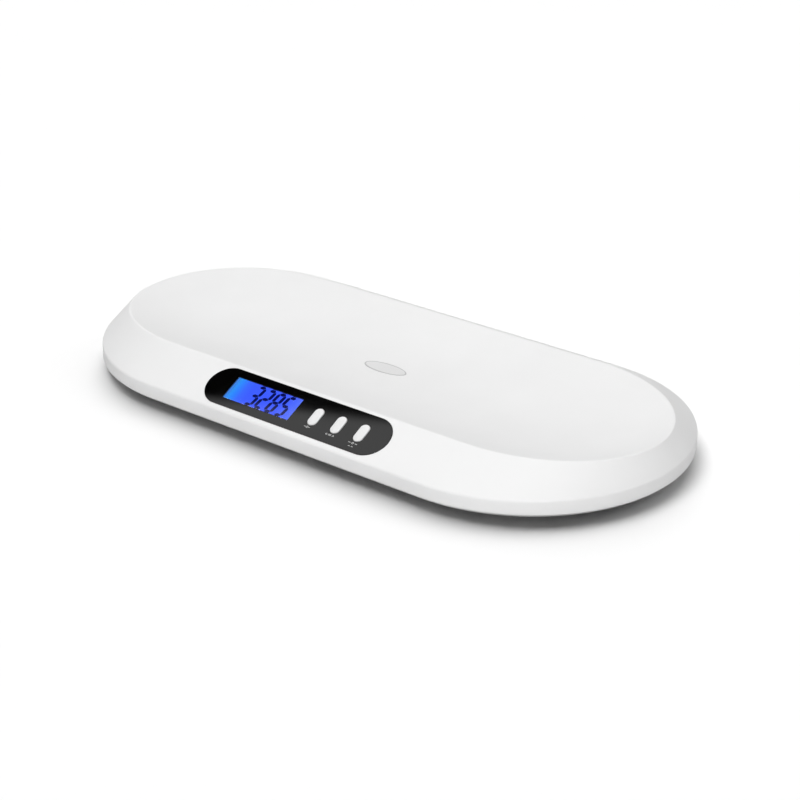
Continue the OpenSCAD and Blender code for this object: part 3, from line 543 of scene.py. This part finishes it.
def inner_rings():
    """Rings over the inside, from the tray's middle out and down to the lower edge."""
    tip_band = math.atan((TIP_Z - RIM_TOP) / BAND_RUN_END)
    side_dish = math.atan(2 * TRAY_DEPTH / CREST_HALF_W)
    tip_dish = math.atan(2 * (TRAY_DEPTH - CREST_DIP) / TRAY_END_L)

    def inset(band, dish):
        """How far the inner crest lies inside the outer one, for a wall of even thickness."""
        return WALL * (1 / math.cos(band) - 1 / math.cos(dish)) / (math.tan(band) + math.tan(dish))

    side_in, tip_in = inset(BAND_ANGLE, side_dish), inset(tip_band, tip_dish)
    side_z = CREST_Z - WALL / math.cos(side_dish) - side_in * math.tan(side_dish)
    tip_z = TIP_Z - WALL / math.cos(tip_dish) - tip_in * math.tan(tip_dish)
    rings = [np.array([CREST_STRAIGHT, (TRAY_END_L - tip_in) * rho, (CREST_HALF_W - side_in) * rho,
                       mix(TRAY_Z - WALL, side_z, rho * rho), mix(TRAY_Z - WALL, tip_z, rho * rho)])
             for rho in np.linspace(0, 1, INNER_STEPS + 1)[1:]]
    r = RIM_R - WALL
    rings.append(np.array([RIM_STRAIGHT, r, r,
                           RIM_TOP + WALL * math.tan(BAND_ANGLE) - WALL / math.cos(BAND_ANGLE),
                           RIM_TOP + WALL * math.tan(tip_band) - WALL / math.cos(tip_band)]))
    rings.append(np.array([RIM_STRAIGHT, r, r, RIM_LIFT, RIM_LIFT]))
    return rings


def ring_points(ring):
    """Points round a ring: half an oval at each end, whose height eases from the side to the tip."""
    run, end_l, half_w, side_z, tip_z = ring
    angles = np.radians(np.linspace(-90, 90, ARC_STEPS + 1))
    right = np.column_stack([run + end_l * np.cos(angles), half_w * np.sin(angles),
                             mix(side_z, tip_z, np.cos(angles) ** 2)])
    return np.concatenate([right, right * [-1, -1, 1]])


def middle_faces(start, count, right, left, turned):
    """Faces from the innermost ring to the two ends of the tray's middle line."""
    faces = []
    for k in range(count):
        after = (k + 1) % count
        here = right if k <= ARC_STEPS else left
        there = right if after <= ARC_STEPS else left
        faces.append((start + k, start + after, here) if here == there
                     else (start + k, start + after, there, here))
    return [tuple(reversed(face)) for face in faces] if turned else faces


def shell_solid():
    """The outer and the inner skin of the housing, joined at the lower edge."""
    outer, inner = outer_rings(), inner_rings()
    count = 2 * (ARC_STEPS + 1)
    points, faces = loft([ring_points(ring) for ring in outer + inner], closed_ends=False)
    # The loft also joined the tray's last outer ring to the first inner one; those faces go
    gap = range((len(outer) - 1) * count, len(outer) * count)
    faces = [face for i, face in enumerate(faces) if i not in gap]
    last = (len(outer) + len(inner) - 1) * count
    faces += [(last + k, last + (k + 1) % count, (k + 1) % count, k) for k in range(count)]
    middle = len(points)
    ends = np.array([[x * CREST_STRAIGHT, 0, z] for z in (TRAY_Z, TRAY_Z - WALL) for x in (1, -1)])
    faces += middle_faces((len(outer) - 1) * count, count, middle, middle + 1, False)
    faces += middle_faces(len(outer) * count, count, middle + 2, middle + 3, True)
    return np.concatenate([points, ends]), faces


def tray_mid_z(x, y):
    """Height halfway through the tray's wall."""
    out = max(abs(x) - CREST_STRAIGHT, 0) / TRAY_END_L
    rho = math.hypot(out, y / CREST_HALF_W)
    return TRAY_Z - WALL / 2 + TRAY_DEPTH * rho ** 2 - CREST_DIP * out ** 2


def console_outline(grow):
    return oblong(CONSOLE_X, CONSOLE_V, CONSOLE_L, CONSOLE_W, grow, CONSOLE_STEPS)


def window_outline(grow):
    return rectangle(WINDOW_X, CONSOLE_V, WINDOW_L, WINDOW_W, grow, WINDOW_CORNER)


def glass_outline(grow):
    return rectangle(WINDOW_X, CONSOLE_V, GLASS_L, GLASS_W, grow, GLASS_CORNER)


def button_outline(x):
    return lambda grow: oblong(x, CONSOLE_V, BUTTON_W, BUTTON_H, grow)


def badge_outline(grow):
    return oval(BADGE_L, BADGE_W, grow)


def flared(gap, bottom, edge, r, steps=5):
    """Profile of a hole whose mouth is rounded by a radius."""
    angles = np.radians(np.linspace(0, 90, steps + 1))
    mouth = [(gap + r - r * math.cos(a), edge - r + r * math.sin(a)) for a in angles]
    return [(gap, bottom)] + mouth


def straight(gap, bottom, top):
    """Profile of a straight cutter or post."""
    return [(gap, bottom), (gap, top)]


def make_top_shell():
    shell = make_piece("upper_housing", shell_solid())
    board_at = [(x, CONSOLE_V + side * BOARD_POST_V) for x in BOARD_POST_X for side in (-1, 1)]

    def level_round(at, r, bottom, top):
        return level_solid(lambda grow: circle(*at, r), straight(0, bottom, top))

    def slope_round(at, r, bottom, top):
        return slope_solid(lambda grow: circle(*at, r), straight(0, bottom, top))

    carve(shell, slope_solid(console_outline, straight(PAD_MARGIN, PAD_BOTTOM, -WALL / 2)), "UNION")
    posts = [level_round(at, POST_R, POST_TOP, tray_mid_z(*at)) for at in SCREW_AT]
    posts += [slope_round(at, BOARD_POST_D / 2, BOARD_TOP, PAD_BOTTOM + POST_SINK) for at in board_at]
    carve(shell, join(*posts), "UNION")
    pocket = flared(PANEL_GAP, PANEL_BED, 0, POCKET_MOUTH_R) + [(PANEL_GAP + POCKET_MOUTH_R, POCKET_CUT_H)]
    carve(shell, slope_solid(console_outline, pocket), "DIFFERENCE")
    hole_ends = (PAD_BOTTOM - CUT_PAST, PANEL_BED + CUT_PAST)
    holes = [slope_solid(glass_outline, straight(GLASS_GAP, *hole_ends))]
    holes += [slope_solid(button_outline(x), straight(FLANGE_LIP + BUTTON_GAP, *hole_ends))
              for x in BUTTON_X]
    carve(shell, join(*holes), "DIFFERENCE")
    bores = [level_round(at, SCREW_D / 2, POST_TOP - CUT_PAST, SCREW_END_Z + CUT_PAST) for at in SCREW_AT]
    bores += [slope_round(at, BOARD_SCREW_D / 2, BOARD_TOP - CUT_PAST, BOARD_TOP + BOARD_BORE_H)
              for at in board_at]
    recess = flared(BADGE_GAP, BADGE_TOP - BADGE_T, BADGE_MOUTH_TOP, BADGE_MOUTH_R)
    bores.append(level_solid(badge_outline, recess + [(BADGE_GAP + BADGE_MOUTH_R, BADGE_CUT_TOP)]))
    carve(shell, join(*bores), "DIFFERENCE")
    shade(shell)
    dress(shell, "housing_white")
    place(shell, "housing", "housing_white", "top_shell")


def make_badge():
    """Bare oval badge with a raised border round a paler field."""
    border = [(0, BADGE_TOP - BADGE_T)] + rounded_edge(0, BADGE_TOP, BADGE_EDGE_R)
    profile = border + [(grow, BADGE_TOP + z) for grow, z in BADGE_STEP]
    badge = make_piece("tray_badge_oval", level_solid(badge_outline, profile))
    shade(badge)
    dress(badge, "badge_grey")
    badge.data.materials.append(materials["badge_field"])
    reach = np.array([BADGE_L / 2 - BADGE_RIM, BADGE_W / 2 - BADGE_RIM]) * MM
    lowest = (BADGE_TOP - BADGE_FIELD_DEPTH) * MM
    for face in badge.data.polygons:
        at = np.array([badge.data.vertices[i].co for i in face.vertices])
        inside = (np.linalg.norm(at[:, :2] / reach, axis=1) <= 1).all()
        face.material_index = int(inside and at[0, 2] > lowest)
    place(badge, "housing", "badge_grey", "tray_badge")


# ---- Console ----

def holed_slab(outer, holes):
    """Slab from an outer loft and hole lofts, each a list of rings from the bottom up."""
    mesh = bmesh.new()
    bottoms, tops = [], []
    for rings in [outer] + holes:
        loops = [[mesh.verts.new(point * MM) for point in ring] for ring in rings]
        for low, high in zip(loops, loops[1:]):
            for k in range(len(low)):
                after = (k + 1) % len(low)
                mesh.faces.new((low[k], low[after], high[after], high[k])).smooth = True
        bottoms.append(loops[0])
        tops.append(loops[-1])
    for loops in (bottoms, tops):
        edges = [mesh.edges.get((loop[k], loop[(k + 1) % len(loop)])) for loop in loops
                 for k in range(len(loop))]
        made = bmesh.ops.triangle_fill(mesh, use_beauty=True, edges=edges)
        for face in made["geom"]:
            if isinstance(face, bmesh.types.BMFace):
                face.smooth = False
    bmesh.ops.recalc_face_normals(mesh, faces=mesh.faces)
    return mesh


def make_panel():
    """Gloss panel with holes for the window and the buttons, every edge slightly rounded."""
    def rings(outline, profile):
        return [slope_points(outline(grow), w) for grow, w in profile]

    window_hole = flared(0, PANEL_BED, PANEL_TOP, WINDOW_HOLE_R, 4)
    button_hole = flared(BUTTON_GAP, PANEL_BED, PANEL_TOP, BUTTON_HOLE_R, 4)
    outer = rings(console_outline, [(0, PANEL_BED)] + rounded_edge(0, PANEL_TOP, PANEL_EDGE_R))
    holes = [rings(window_outline, window_hole)]
    holes += [rings(button_outline(x), button_hole) for x in BUTTON_X]
    mesh = holed_slab(outer, holes)
    data = bpy.data.meshes.new("console_face")
    mesh.to_mesh(data)
    mesh.free()
    panel = bpy.data.objects.new("console_face", data)
    bpy.context.scene.collection.objects.link(panel)
    dress(panel, "console_black")
    place(panel, "housing", "console_black", "console_panel")


def make_window():
    profile = [(-WINDOW_GAP, PANEL_BED)] + rounded_edge(-WINDOW_GAP, WINDOW_TOP, WINDOW_EDGE_R, 4)
    window = make_piece("window_pane", slope_solid(window_outline, profile))
    shade(window)
    dress(window, "window_clear")
    place(window, "housing", "window_clear", "display_window")


def make_display():
    profile = [(-GLASS_CHAMFER, GLASS_BOTTOM), (0, GLASS_BOTTOM + GLASS_CHAMFER),
               (0, GLASS_TOP - GLASS_CHAMFER), (-GLASS_CHAMFER, GLASS_TOP)]
    cell = make_piece("display_cell", slope_solid(glass_outline, profile))
    shade(cell, sharp_angle=20)
    dress(cell, "display_blue")
    place(cell, "housing", "display_blue", "lcd_glass")


# Seven-segment figures: sizes along and up the slope. Ink starts a little inside what carries it.
INK_SINK = 0.01
DIGIT_INK_T = 0.04
DIGITS = "3285"
DIGIT_W = 6.3
DIGIT_H = 18.8
DIGIT_PITCH = 10.57
DIGIT_STROKE = 2.9
DIGIT_LEAN = math.tan(math.radians(7))
FIRST_DIGIT_X = -41.7
DIGIT_RISE = 0.25
SEGMENT_GAP = 0.22
DIGIT_SEGMENTS = {"2": "abged", "3": "abgcd", "5": "afgcd", "8": "abcdefg"}
# Ends of each segment, in halves of the figure's width and height
SEGMENT_ENDS = {"a": ((-1, 1), (1, 1)), "b": ((1, 1), (1, 0)), "c": ((1, 0), (1, -1)),
                "d": ((-1, -1), (1, -1)), "e": ((-1, 0), (-1, -1)), "f": ((-1, 1), (-1, 0)),
                "g": ((-1, 0), (1, 0))}


def segment_outline(x, name):
    """Outline of one segment: a stroke with pointed ends, leaning with its figure."""
    start, end = (np.array(p) * [DIGIT_W / 2, DIGIT_H / 2] for p in SEGMENT_ENDS[name])
    along = (end - start) / np.linalg.norm(end - start)
    across = np.array([-along[1], along[0]]) * DIGIT_STROKE / 2
    start, end = start + along * SEGMENT_GAP, end - along * SEGMENT_GAP
    shoulder = along * DIGIT_STROKE / 2
    points = np.array([start, start + shoulder - across, end - shoulder - across, end,
                       end - shoulder + across, start + shoulder + across])
    points[:, 0] += points[:, 1] * DIGIT_LEAN
    return points + [x, CONSOLE_V + DIGIT_RISE]


def ink_solid(outline, ground, thickness):
    return loft([slope_points(outline, w) for w in (ground - INK_SINK, ground + thickness)])


def make_digits():
    solids = []
    for i, figure in enumerate(DIGITS):
        for name in DIGIT_SEGMENTS[figure]:
            outline = segment_outline(FIRST_DIGIT_X + i * DIGIT_PITCH, name)
            solids.append(ink_solid(outline, GLASS_TOP, DIGIT_INK_T))
    digits = make_piece("display_digits", join(*solids))
    digits.data.materials.append(digit_ink())
    place(digits, "housing", "display_blue")


# ---- Small printed signs under the buttons ----

SIGN_V = 13.3
SIGN_SHIFT = -0.8
SIGN_STROKE = 0.6
SIGN_INK_T = 0.02
# Each sign from its own middle: strokes drawn on both sides and strokes drawn once, as the x and v of
# their ends, and then an arc as its radius, start and end
SIGNS = [([(1.3, 0, 2.9, 0)], [], (0.75, 0, 360)),
         ([(4.2, 0, 2.6, 0.75), (4.2, 0, 2.6, -0.75)],
          [(-1.5, 0.45, 1.5, 0.45), (-1.5, -0.45, 1.5, -0.45)], None),
         ([(2.0, 0, 4.3, 0), (0.5, -3.2, 2.4, -3.2)], [(0, 0.15, 0, 1.15)], (0.8, -240, 60))]


def stroke_outline(x0, v0, x1, v1):
    start, end = np.array([x0, v0]), np.array([x1, v1])
    along = (end - start) / np.linalg.norm(end - start)
    across = np.array([-along[1], along[0]]) * SIGN_STROKE / 2
    return np.array([start - across, end - across, end + across, start + across])


def arc_outlines(r, start, end, steps=14):
    """An arc as a row of four-sided outlines."""
    angles = np.radians(np.linspace(start, end, steps + 1))
    inner, outer = r - SIGN_STROKE / 2, r + SIGN_STROKE / 2
    return [np.array([[reach * math.cos(t), reach * math.sin(t)]
                      for reach, t in ((inner, a), (outer, a), (outer, b), (inner, b))])
            for a, b in zip(angles, angles[1:])]


def make_signs():
    outlines = []
    for x, (paired, single, arc) in zip(BUTTON_X, SIGNS):
        lines = [(side * x0, v0, side * x1, v1) for side in (-1, 1) for x0, v0, x1, v1 in paired] + single
        shapes = [stroke_outline(*line) for line in lines] + (arc_outlines(*arc) if arc else [])
        outlines += [shape + [x + SIGN_SHIFT, SIGN_V] for shape in shapes]
    solids = [ink_solid(outline, PANEL_TOP, SIGN_INK_T) for outline in outlines]
    signs = make_piece("console_signs", join(*solids))
    signs.data.materials.append(moulded("sign_grey", (0.42, 0.42, 0.42), 0.6, grain=3000.0))
    place(signs, "housing", "console_black")


# ---- Buttons ----

CROWN_REACH = 0.96
CROWN_STEPS = 8


def make_button(i, side):
    """Push button: a flange under the panel and a pillow-topped cap."""
    chamfer = FLANGE_CHAMFER
    profile = [(FLANGE_LIP - chamfer, FLANGE_BOTTOM), (FLANGE_LIP, FLANGE_BOTTOM + chamfer),
               (FLANGE_LIP, FLANGE_TOP - chamfer), (FLANGE_LIP - chamfer, FLANGE_TOP),
               (chamfer, FLANGE_TOP), (0, FLANGE_TOP + chamfer)]
    shoulder = BUTTON_TOP - BUTTON_CROWN
    profile += rounded_edge(0, shoulder, BUTTON_EDGE_R, 6)
    half = BUTTON_W / 2 - BUTTON_EDGE_R
    for reach in np.linspace(0, CROWN_REACH, CROWN_STEPS + 1)[1:]:
        profile.append((-BUTTON_EDGE_R - half * reach, shoulder + BUTTON_CROWN * (1 - (1 - reach) ** 2)))
    cap = make_piece(f"button_cap_{side}", slope_solid(button_outline(BUTTON_X[i]), profile))
    shade(cap, sharp_angle=50, weighted=False)
    dress(cap, "button_white")
    place(cap, f"button_{side}", "button_white", f"button_{side}")


# ---- Screws ----

# The head's crown in shares of its radius and heights, its chamfer, and the neck under it
SCREW_CROWN = [(0.55, 0), (0.8, 0.12), (0.95, 0.45), (1, 0.9)]
SCREW_CHAMFER = 0.15
SCREW_NECK_R = 1.25
SCREW_NECK_H = 0.5
SCREW_STEPS = 40
# The thread: its radii, its pitch, where it starts over the head, what it leaves plain, and one turn
THREAD_ROOT_R = 1.05
THREAD_CREST_R = 1.42
THREAD_PITCH = 1.2
THREAD_START = 1
THREAD_PLAIN = 3
THREAD_TURN = [(THREAD_ROOT_R, 0), (THREAD_CREST_R, 0.45), (THREAD_CREST_R, 0.6), (THREAD_ROOT_R, 1.0)]
POINT_R = 0.2
POINT_H = 1.5
# The cross recess: its arms, how they narrow with depth, and where the cut begins and ends
RECESS_ARMS = ((3.0, 0.75), (0.75, 3.0))
RECESS_TAPER = 0.3
RECESS_GROW = (0.4, -0.5)
RECESS_DEPTH = 1.1


def screw_profile():
    low, high = SCREW_HEAD_Z
    r = SCREW_HEAD_D / 2
    head = [(r * share, low + z) for share, z in SCREW_CROWN]
    head += [(r, high - SCREW_CHAMFER), (r - SCREW_CHAMFER, high)]
    neck = [(SCREW_NECK_R, high), (THREAD_ROOT_R, high + SCREW_NECK_H)]
    turns = int((SCREW_END_Z - high - THREAD_PLAIN) / THREAD_PITCH)
    thread = [(radius, high + THREAD_START + i * THREAD_PITCH + z) for i in range(turns)
              for radius, z in THREAD_TURN]
    return head + neck + thread + [(THREAD_ROOT_R, SCREW_END_Z - POINT_H), (POINT_R, SCREW_END_Z)]


def make_housing_screws():
    """Pan-head screws with a cross recess and a threaded shank."""
    low = SCREW_HEAD_Z[0]
    screw = make_piece("housing_screw_set", loft([level_points(circle(0, 0, radius, SCREW_STEPS), z)
                                                  for radius, z in screw_profile()]))
    for along, across in RECESS_ARMS:
        def arm_outline(grow):
            return rectangle(0, 0, along + grow, across + grow * RECESS_TAPER)

        cut = list(zip(RECESS_GROW, (low - CUT_PAST, low + RECESS_DEPTH)))
        carve(screw, level_solid(arm_outline, cut), "DIFFERENCE")
    one = np.array([v.co for v in screw.data.vertices]) / MM
    faces = [tuple(p.vertices) for p in screw.data.polygons]
    bpy.data.objects.remove(screw)
    screws = make_piece("housing_screw_set", join(*[(one + [x, y, 0], faces) for x, y in SCREW_AT]))
    shade(screws, sharp_angle=40)
    dress(screws, "steel")
    place(screws, "housing", "steel", "housing_screws")


# ---- Batteries ----

BATTERY_STEPS = 56
BAND_L = 11
# Profiles of a cell's parts. The nub's are radii and distances from the plus end; the others are how far
# inside the cell's radius, and the distance from the plus end, from the band or from the minus end.
NUB = [(1.5, 0), (1.8, 0.12), (1.9, 0.4), (1.9, 1.0), (2.3, 1.15), (2.4, 1.6)]
BAND = [(1.3, 1.2), (0.6, 1.0), (0.15, 1.12), (0, 1.45), (0, BAND_L)]
JACKET_START = [(0.01, 0), (0, 0.05)]
JACKET_END = [(0, 0.6), (0.15, 0.25), (0.7, 0.1), (1.1, 0.3)]
CUP = [(1.0, 0.6), (1.0, 0.25), (1.5, 0.05)]
CUP_MIDDLE_R = 0.5


def make_batteries():
    """Cells that lie in turns: a wrapped steel can with a plain band at its plus end, and its nub."""
    low, high = corners("batteries")
    r, reach, z = (high[2] - low[2]) / 2, high[0], (high[2] + low[2]) / 2
    length = high[0] * 2 - BATTERY_END_GAP
    around = circle(0, 0, 1, BATTERY_STEPS)
    jackets, bands, ends = [], [], []
    for i, y in enumerate((low[1] + r, (low[1] + high[1]) / 2, high[1] - r)):
        turn = 1 if i % 2 == 0 else -1

        def lathe(profile):
            return loft([np.column_stack([np.full(BATTERY_STEPS, turn * (reach - x)),
                                          y + turn * radius * around[:, 0], z - radius * around[:, 1]])
                         for radius, x in profile])

        bands.append(lathe([(r - inside, x) for inside, x in BAND]))
        jackets.append(lathe([(r - inside, BAND_L + x) for inside, x in JACKET_START]
                             + [(r - inside, length - x) for inside, x in JACKET_END]))
        ends.append(lathe(NUB))
        ends.append(lathe([(r - inside, length - x) for inside, x in CUP] + [(CUP_MIDDLE_R, length)]))
    for name, solids, finish, slot, replaced in (
            ("battery_jackets", jackets, "battery_jacket", "battery_jacket", ["batteries"]),
            ("battery_bands", bands, "battery_band", "battery_jacket", []),
            ("battery_ends", ends, "steel", "steel", [])):
        piece = make_piece(name, join(*solids))
        shade(piece, sharp_angle=40)
        dress(piece, finish)
        place(piece, "housing", slot, *replaced)


# ---- Carried-over nodes ----

def finish_nodes():
    """Gives each CAD node the material of its slot."""
    slots = {row["node"]: row["material_slot"] for row in frame["record"]["subparts"]}
    for name, node in frame["nodes"].items():
        dress(node, slots[name])


# Corners nearer than this many metres are one; faces within this angle are flat; sharper edges are eased
WELD_WITHIN = 1e-6
FLAT_ANGLE = math.radians(1)
EASED_ANGLE = math.radians(40)


def soften(names, width):
    """Small bevels on the edges of CAD nodes, as modifiers."""
    for name in names:
        node = frame["nodes"][name]
        weld = node.modifiers.new("Weld", "WELD")
        weld.merge_threshold = WELD_WITHIN
        flatten = node.modifiers.new("Flatten", "DECIMATE")
        flatten.decimate_type = "DISSOLVE"
        flatten.angle_limit = FLAT_ANGLE
        bevel = node.modifiers.new("Bevel", "BEVEL")
        bevel.width = width * MM
        bevel.segments = 2
        bevel.limit_method = "ANGLE"
        bevel.angle_limit = EASED_ANGLE
        bevel.use_clamp_overlap = True
        bevel.harden_normals = True


# ---- Studio ----

# The camera's place and target in metres, its lens and sensor in millimetres
CAMERA_AT = (0.9105, -1.1304, 0.6808)
CAMERA_TARGET = (0.044761, -0.037066, 0.025)
LENS = 86.73
SENSOR = 36.0
CLIP_END = 50


def make_camera():
    data = bpy.data.cameras.new("camera")
    data.lens = LENS
    data.sensor_width = SENSOR
    data.clip_end = CLIP_END
    camera = bpy.data.objects.new("camera", data)
    bpy.context.scene.collection.objects.link(camera)
    camera.location = CAMERA_AT
    direction = Vector(CAMERA_TARGET) - Vector(CAMERA_AT)
    camera.rotation_mode = "QUATERNION"
    camera.rotation_quaternion = direction.to_track_quat("-Z", "Y")
    bpy.context.scene.camera = camera


def flat_card(half_l, half_w):
    corner_signs = np.array([[-1, -1, 0], [1, -1, 0], [1, 1, 0], [-1, 1, 0]])
    return corner_signs * [half_l, half_w, 0], [(0, 1, 2, 3)]


FLOOR_HALF = 12000


def make_floor():
    floor = make_piece("floor", flat_card(FLOOR_HALF, FLOOR_HALF))
    material, _ = new_material("floor_white", (0.8, 0.8, 0.8), 1.0, specular=0.0)
    floor.data.materials.append(material)
    floor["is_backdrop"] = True
    return floor


# Soft round lights aimed at the scale: azimuth and elevation in degrees, distance and size in metres, watts
PIECE_LIGHTS = [("key", -55, 52, 3.0, 1.6, 72), ("back", 90, 52, 3.0, 1.6, 13),
                ("fill_low", 150, 22, 3.0, 1.6, 8.5), ("fill_high", 150, 52, 3.0, 1.6, 27)]
# Wide suns for the floor alone: azimuth, elevation and spread in degrees, strength
FLOOR_SUNS = [("floor_wide", 128.8, 51, 59.5, 3.01), ("floor_back", 60, 32, 31.9, 0.62),
              ("floor_left", -160, 68, 31.9, 1.11), ("floor_front", -60, 42, 31.9, 0.14)]
SUN_DISTANCE = 3


def direction_of(azimuth, elevation):
    around, up = math.radians(azimuth), math.radians(elevation)
    return Vector((math.cos(up) * math.cos(around), math.cos(up) * math.sin(around), math.sin(up)))


def make_light(name, kind, at):
    """Light that looks from a place to the middle of the scale."""
    light = bpy.data.objects.new(name, bpy.data.lights.new(name, kind))
    bpy.context.scene.collection.objects.link(light)
    light.location = at
    light.rotation_mode = "QUATERNION"
    light.rotation_quaternion = (-at).to_track_quat("-Z", "Y")
    return light


def make_area(name, azimuth, elevation, distance, size, power):
    light = make_light(name, "AREA", direction_of(azimuth, elevation) * distance)
    light.data.shape = "DISK"
    light.data.size = size
    light.data.energy = power
    return light


def make_sun(name, azimuth, elevation, spread, strength):
    light = make_light(name, "SUN", direction_of(azimuth, elevation) * SUN_DISTANCE)
    light.data.angle = math.radians(spread)
    light.data.energy = strength
    return light


def only_for(light, objects):
    """Lets a light reach only some of the scene's objects."""
    group = bpy.data.collections.new(light.name + "_reach")
    for thing in objects:
        group.objects.link(thing)
    light.light_linking.receiver_collection = group


# The card overhead: half its length and width, where its soft edge lies in metres, its turn in degrees,
# half the depth of that edge in metres, and the strength of its light side
FLAG_HALF = (900, 700)
FLAG_AT = (-0.58, -0.058, 0.8)
FLAG_TURN = 9.8
FLAG_SOFT = 0.007
FLAG_LIGHT = 0.66


def hide_from(thing, rays):
    for ray in rays:
        setattr(thing, f"visible_{ray}", False)


def make_flag():
    """Card overhead, half light and half dark: glossy surfaces mirror it, nothing else sees it."""
    flag = make_piece("flag", flat_card(*FLAG_HALF))
    flag.location = FLAG_AT
    flag.rotation_euler = (0, 0, math.radians(FLAG_TURN))
    material = bpy.data.materials.new("flag_black")
    material.use_nodes = True
    nodes, links = material.node_tree.nodes, material.node_tree.links
    nodes.clear()
    where = nodes.new("ShaderNodeTexCoord")
    parts = nodes.new("ShaderNodeSeparateXYZ")
    edge = nodes.new("ShaderNodeMapRange")
    edge.interpolation_type = "SMOOTHSTEP"
    edge.inputs["From Min"].default_value = -FLAG_SOFT
    edge.inputs["From Max"].default_value = FLAG_SOFT
    edge.inputs["To Min"].default_value = FLAG_LIGHT
    edge.inputs["To Max"].default_value = 0
    shine = nodes.new("ShaderNodeEmission")
    out = nodes.new("ShaderNodeOutputMaterial")
    links.new(where.outputs["Object"], parts.inputs["Vector"])
    links.new(parts.outputs["Y"], edge.inputs["Value"])
    links.new(edge.outputs["Result"], shine.inputs["Strength"])
    links.new(shine.outputs["Emission"], out.inputs["Surface"])
    flag.data.materials.append(material)
    hide_from(flag, ("camera", "diffuse", "shadow", "transmission"))
    flag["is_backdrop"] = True


# The dome's radius, the steps round it and up it, and the elevations of its lowest and highest ring
BACKDROP_R = 11900
BACKDROP_STEPS = 48
BACKDROP_RINGS = 12
BACKDROP_RISE = (-1, 89.9)


def make_backdrop():
    """White dome round the floor that only the camera sees."""
    rings = [level_points(circle(0, 0, BACKDROP_R * math.cos(a), BACKDROP_STEPS), BACKDROP_R * math.sin(a))
             for a in np.radians(np.linspace(*BACKDROP_RISE, BACKDROP_RINGS))]
    backdrop = make_piece("backdrop", loft(rings, closed_ends=False))
    material = bpy.data.materials.new("backdrop_white")
    material.use_nodes = True
    nodes = material.node_tree.nodes
    nodes.clear()
    glow = nodes.new("ShaderNodeEmission")
    out = nodes.new("ShaderNodeOutputMaterial")
    material.node_tree.links.new(glow.outputs["Emission"], out.inputs["Surface"])
    backdrop.data.materials.append(material)
    hide_from(backdrop, ("diffuse", "glossy", "transmission", "volume_scatter", "shadow"))
    backdrop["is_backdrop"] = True


WORLD_STRENGTH = 0.05


def make_world():
    world = bpy.data.worlds.new("studio")
    world.use_nodes = True
    background = world.node_tree.nodes["Background"]
    background.inputs["Color"].default_value = (1, 1, 1, 1)
    background.inputs["Strength"].default_value = WORLD_STRENGTH
    bpy.context.scene.world = world
    bpy.context.scene.view_settings.view_transform = "Standard"
    bpy.context.scene.view_settings.look = "None"


make_camera()
finish_nodes()
make_top_shell()
make_badge()
make_panel()
make_window()
make_display()
make_digits()
make_signs()
for index, side_name in enumerate(("left", "middle", "right")):
    make_button(index, side_name)
make_housing_screws()
make_batteries()
soften(["base_shell"], 0.4)
soften(["battery_door"], 0.3)
soften([f"foot_{foot}" for foot in FEET], 0.5)
soften([f"foot_pad_{foot}" for foot in FEET], 0.25)

floor_plane = make_floor()
make_flag()
make_backdrop()
make_world()
for name, azimuth, elevation, distance, size, power in PIECE_LIGHTS:
    only_for(make_area(name, azimuth, elevation, distance, size, power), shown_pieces())
for name, azimuth, elevation, spread, strength in FLOOR_SUNS:
    only_for(make_sun(name, azimuth, elevation, spread, strength), [floor_plane])
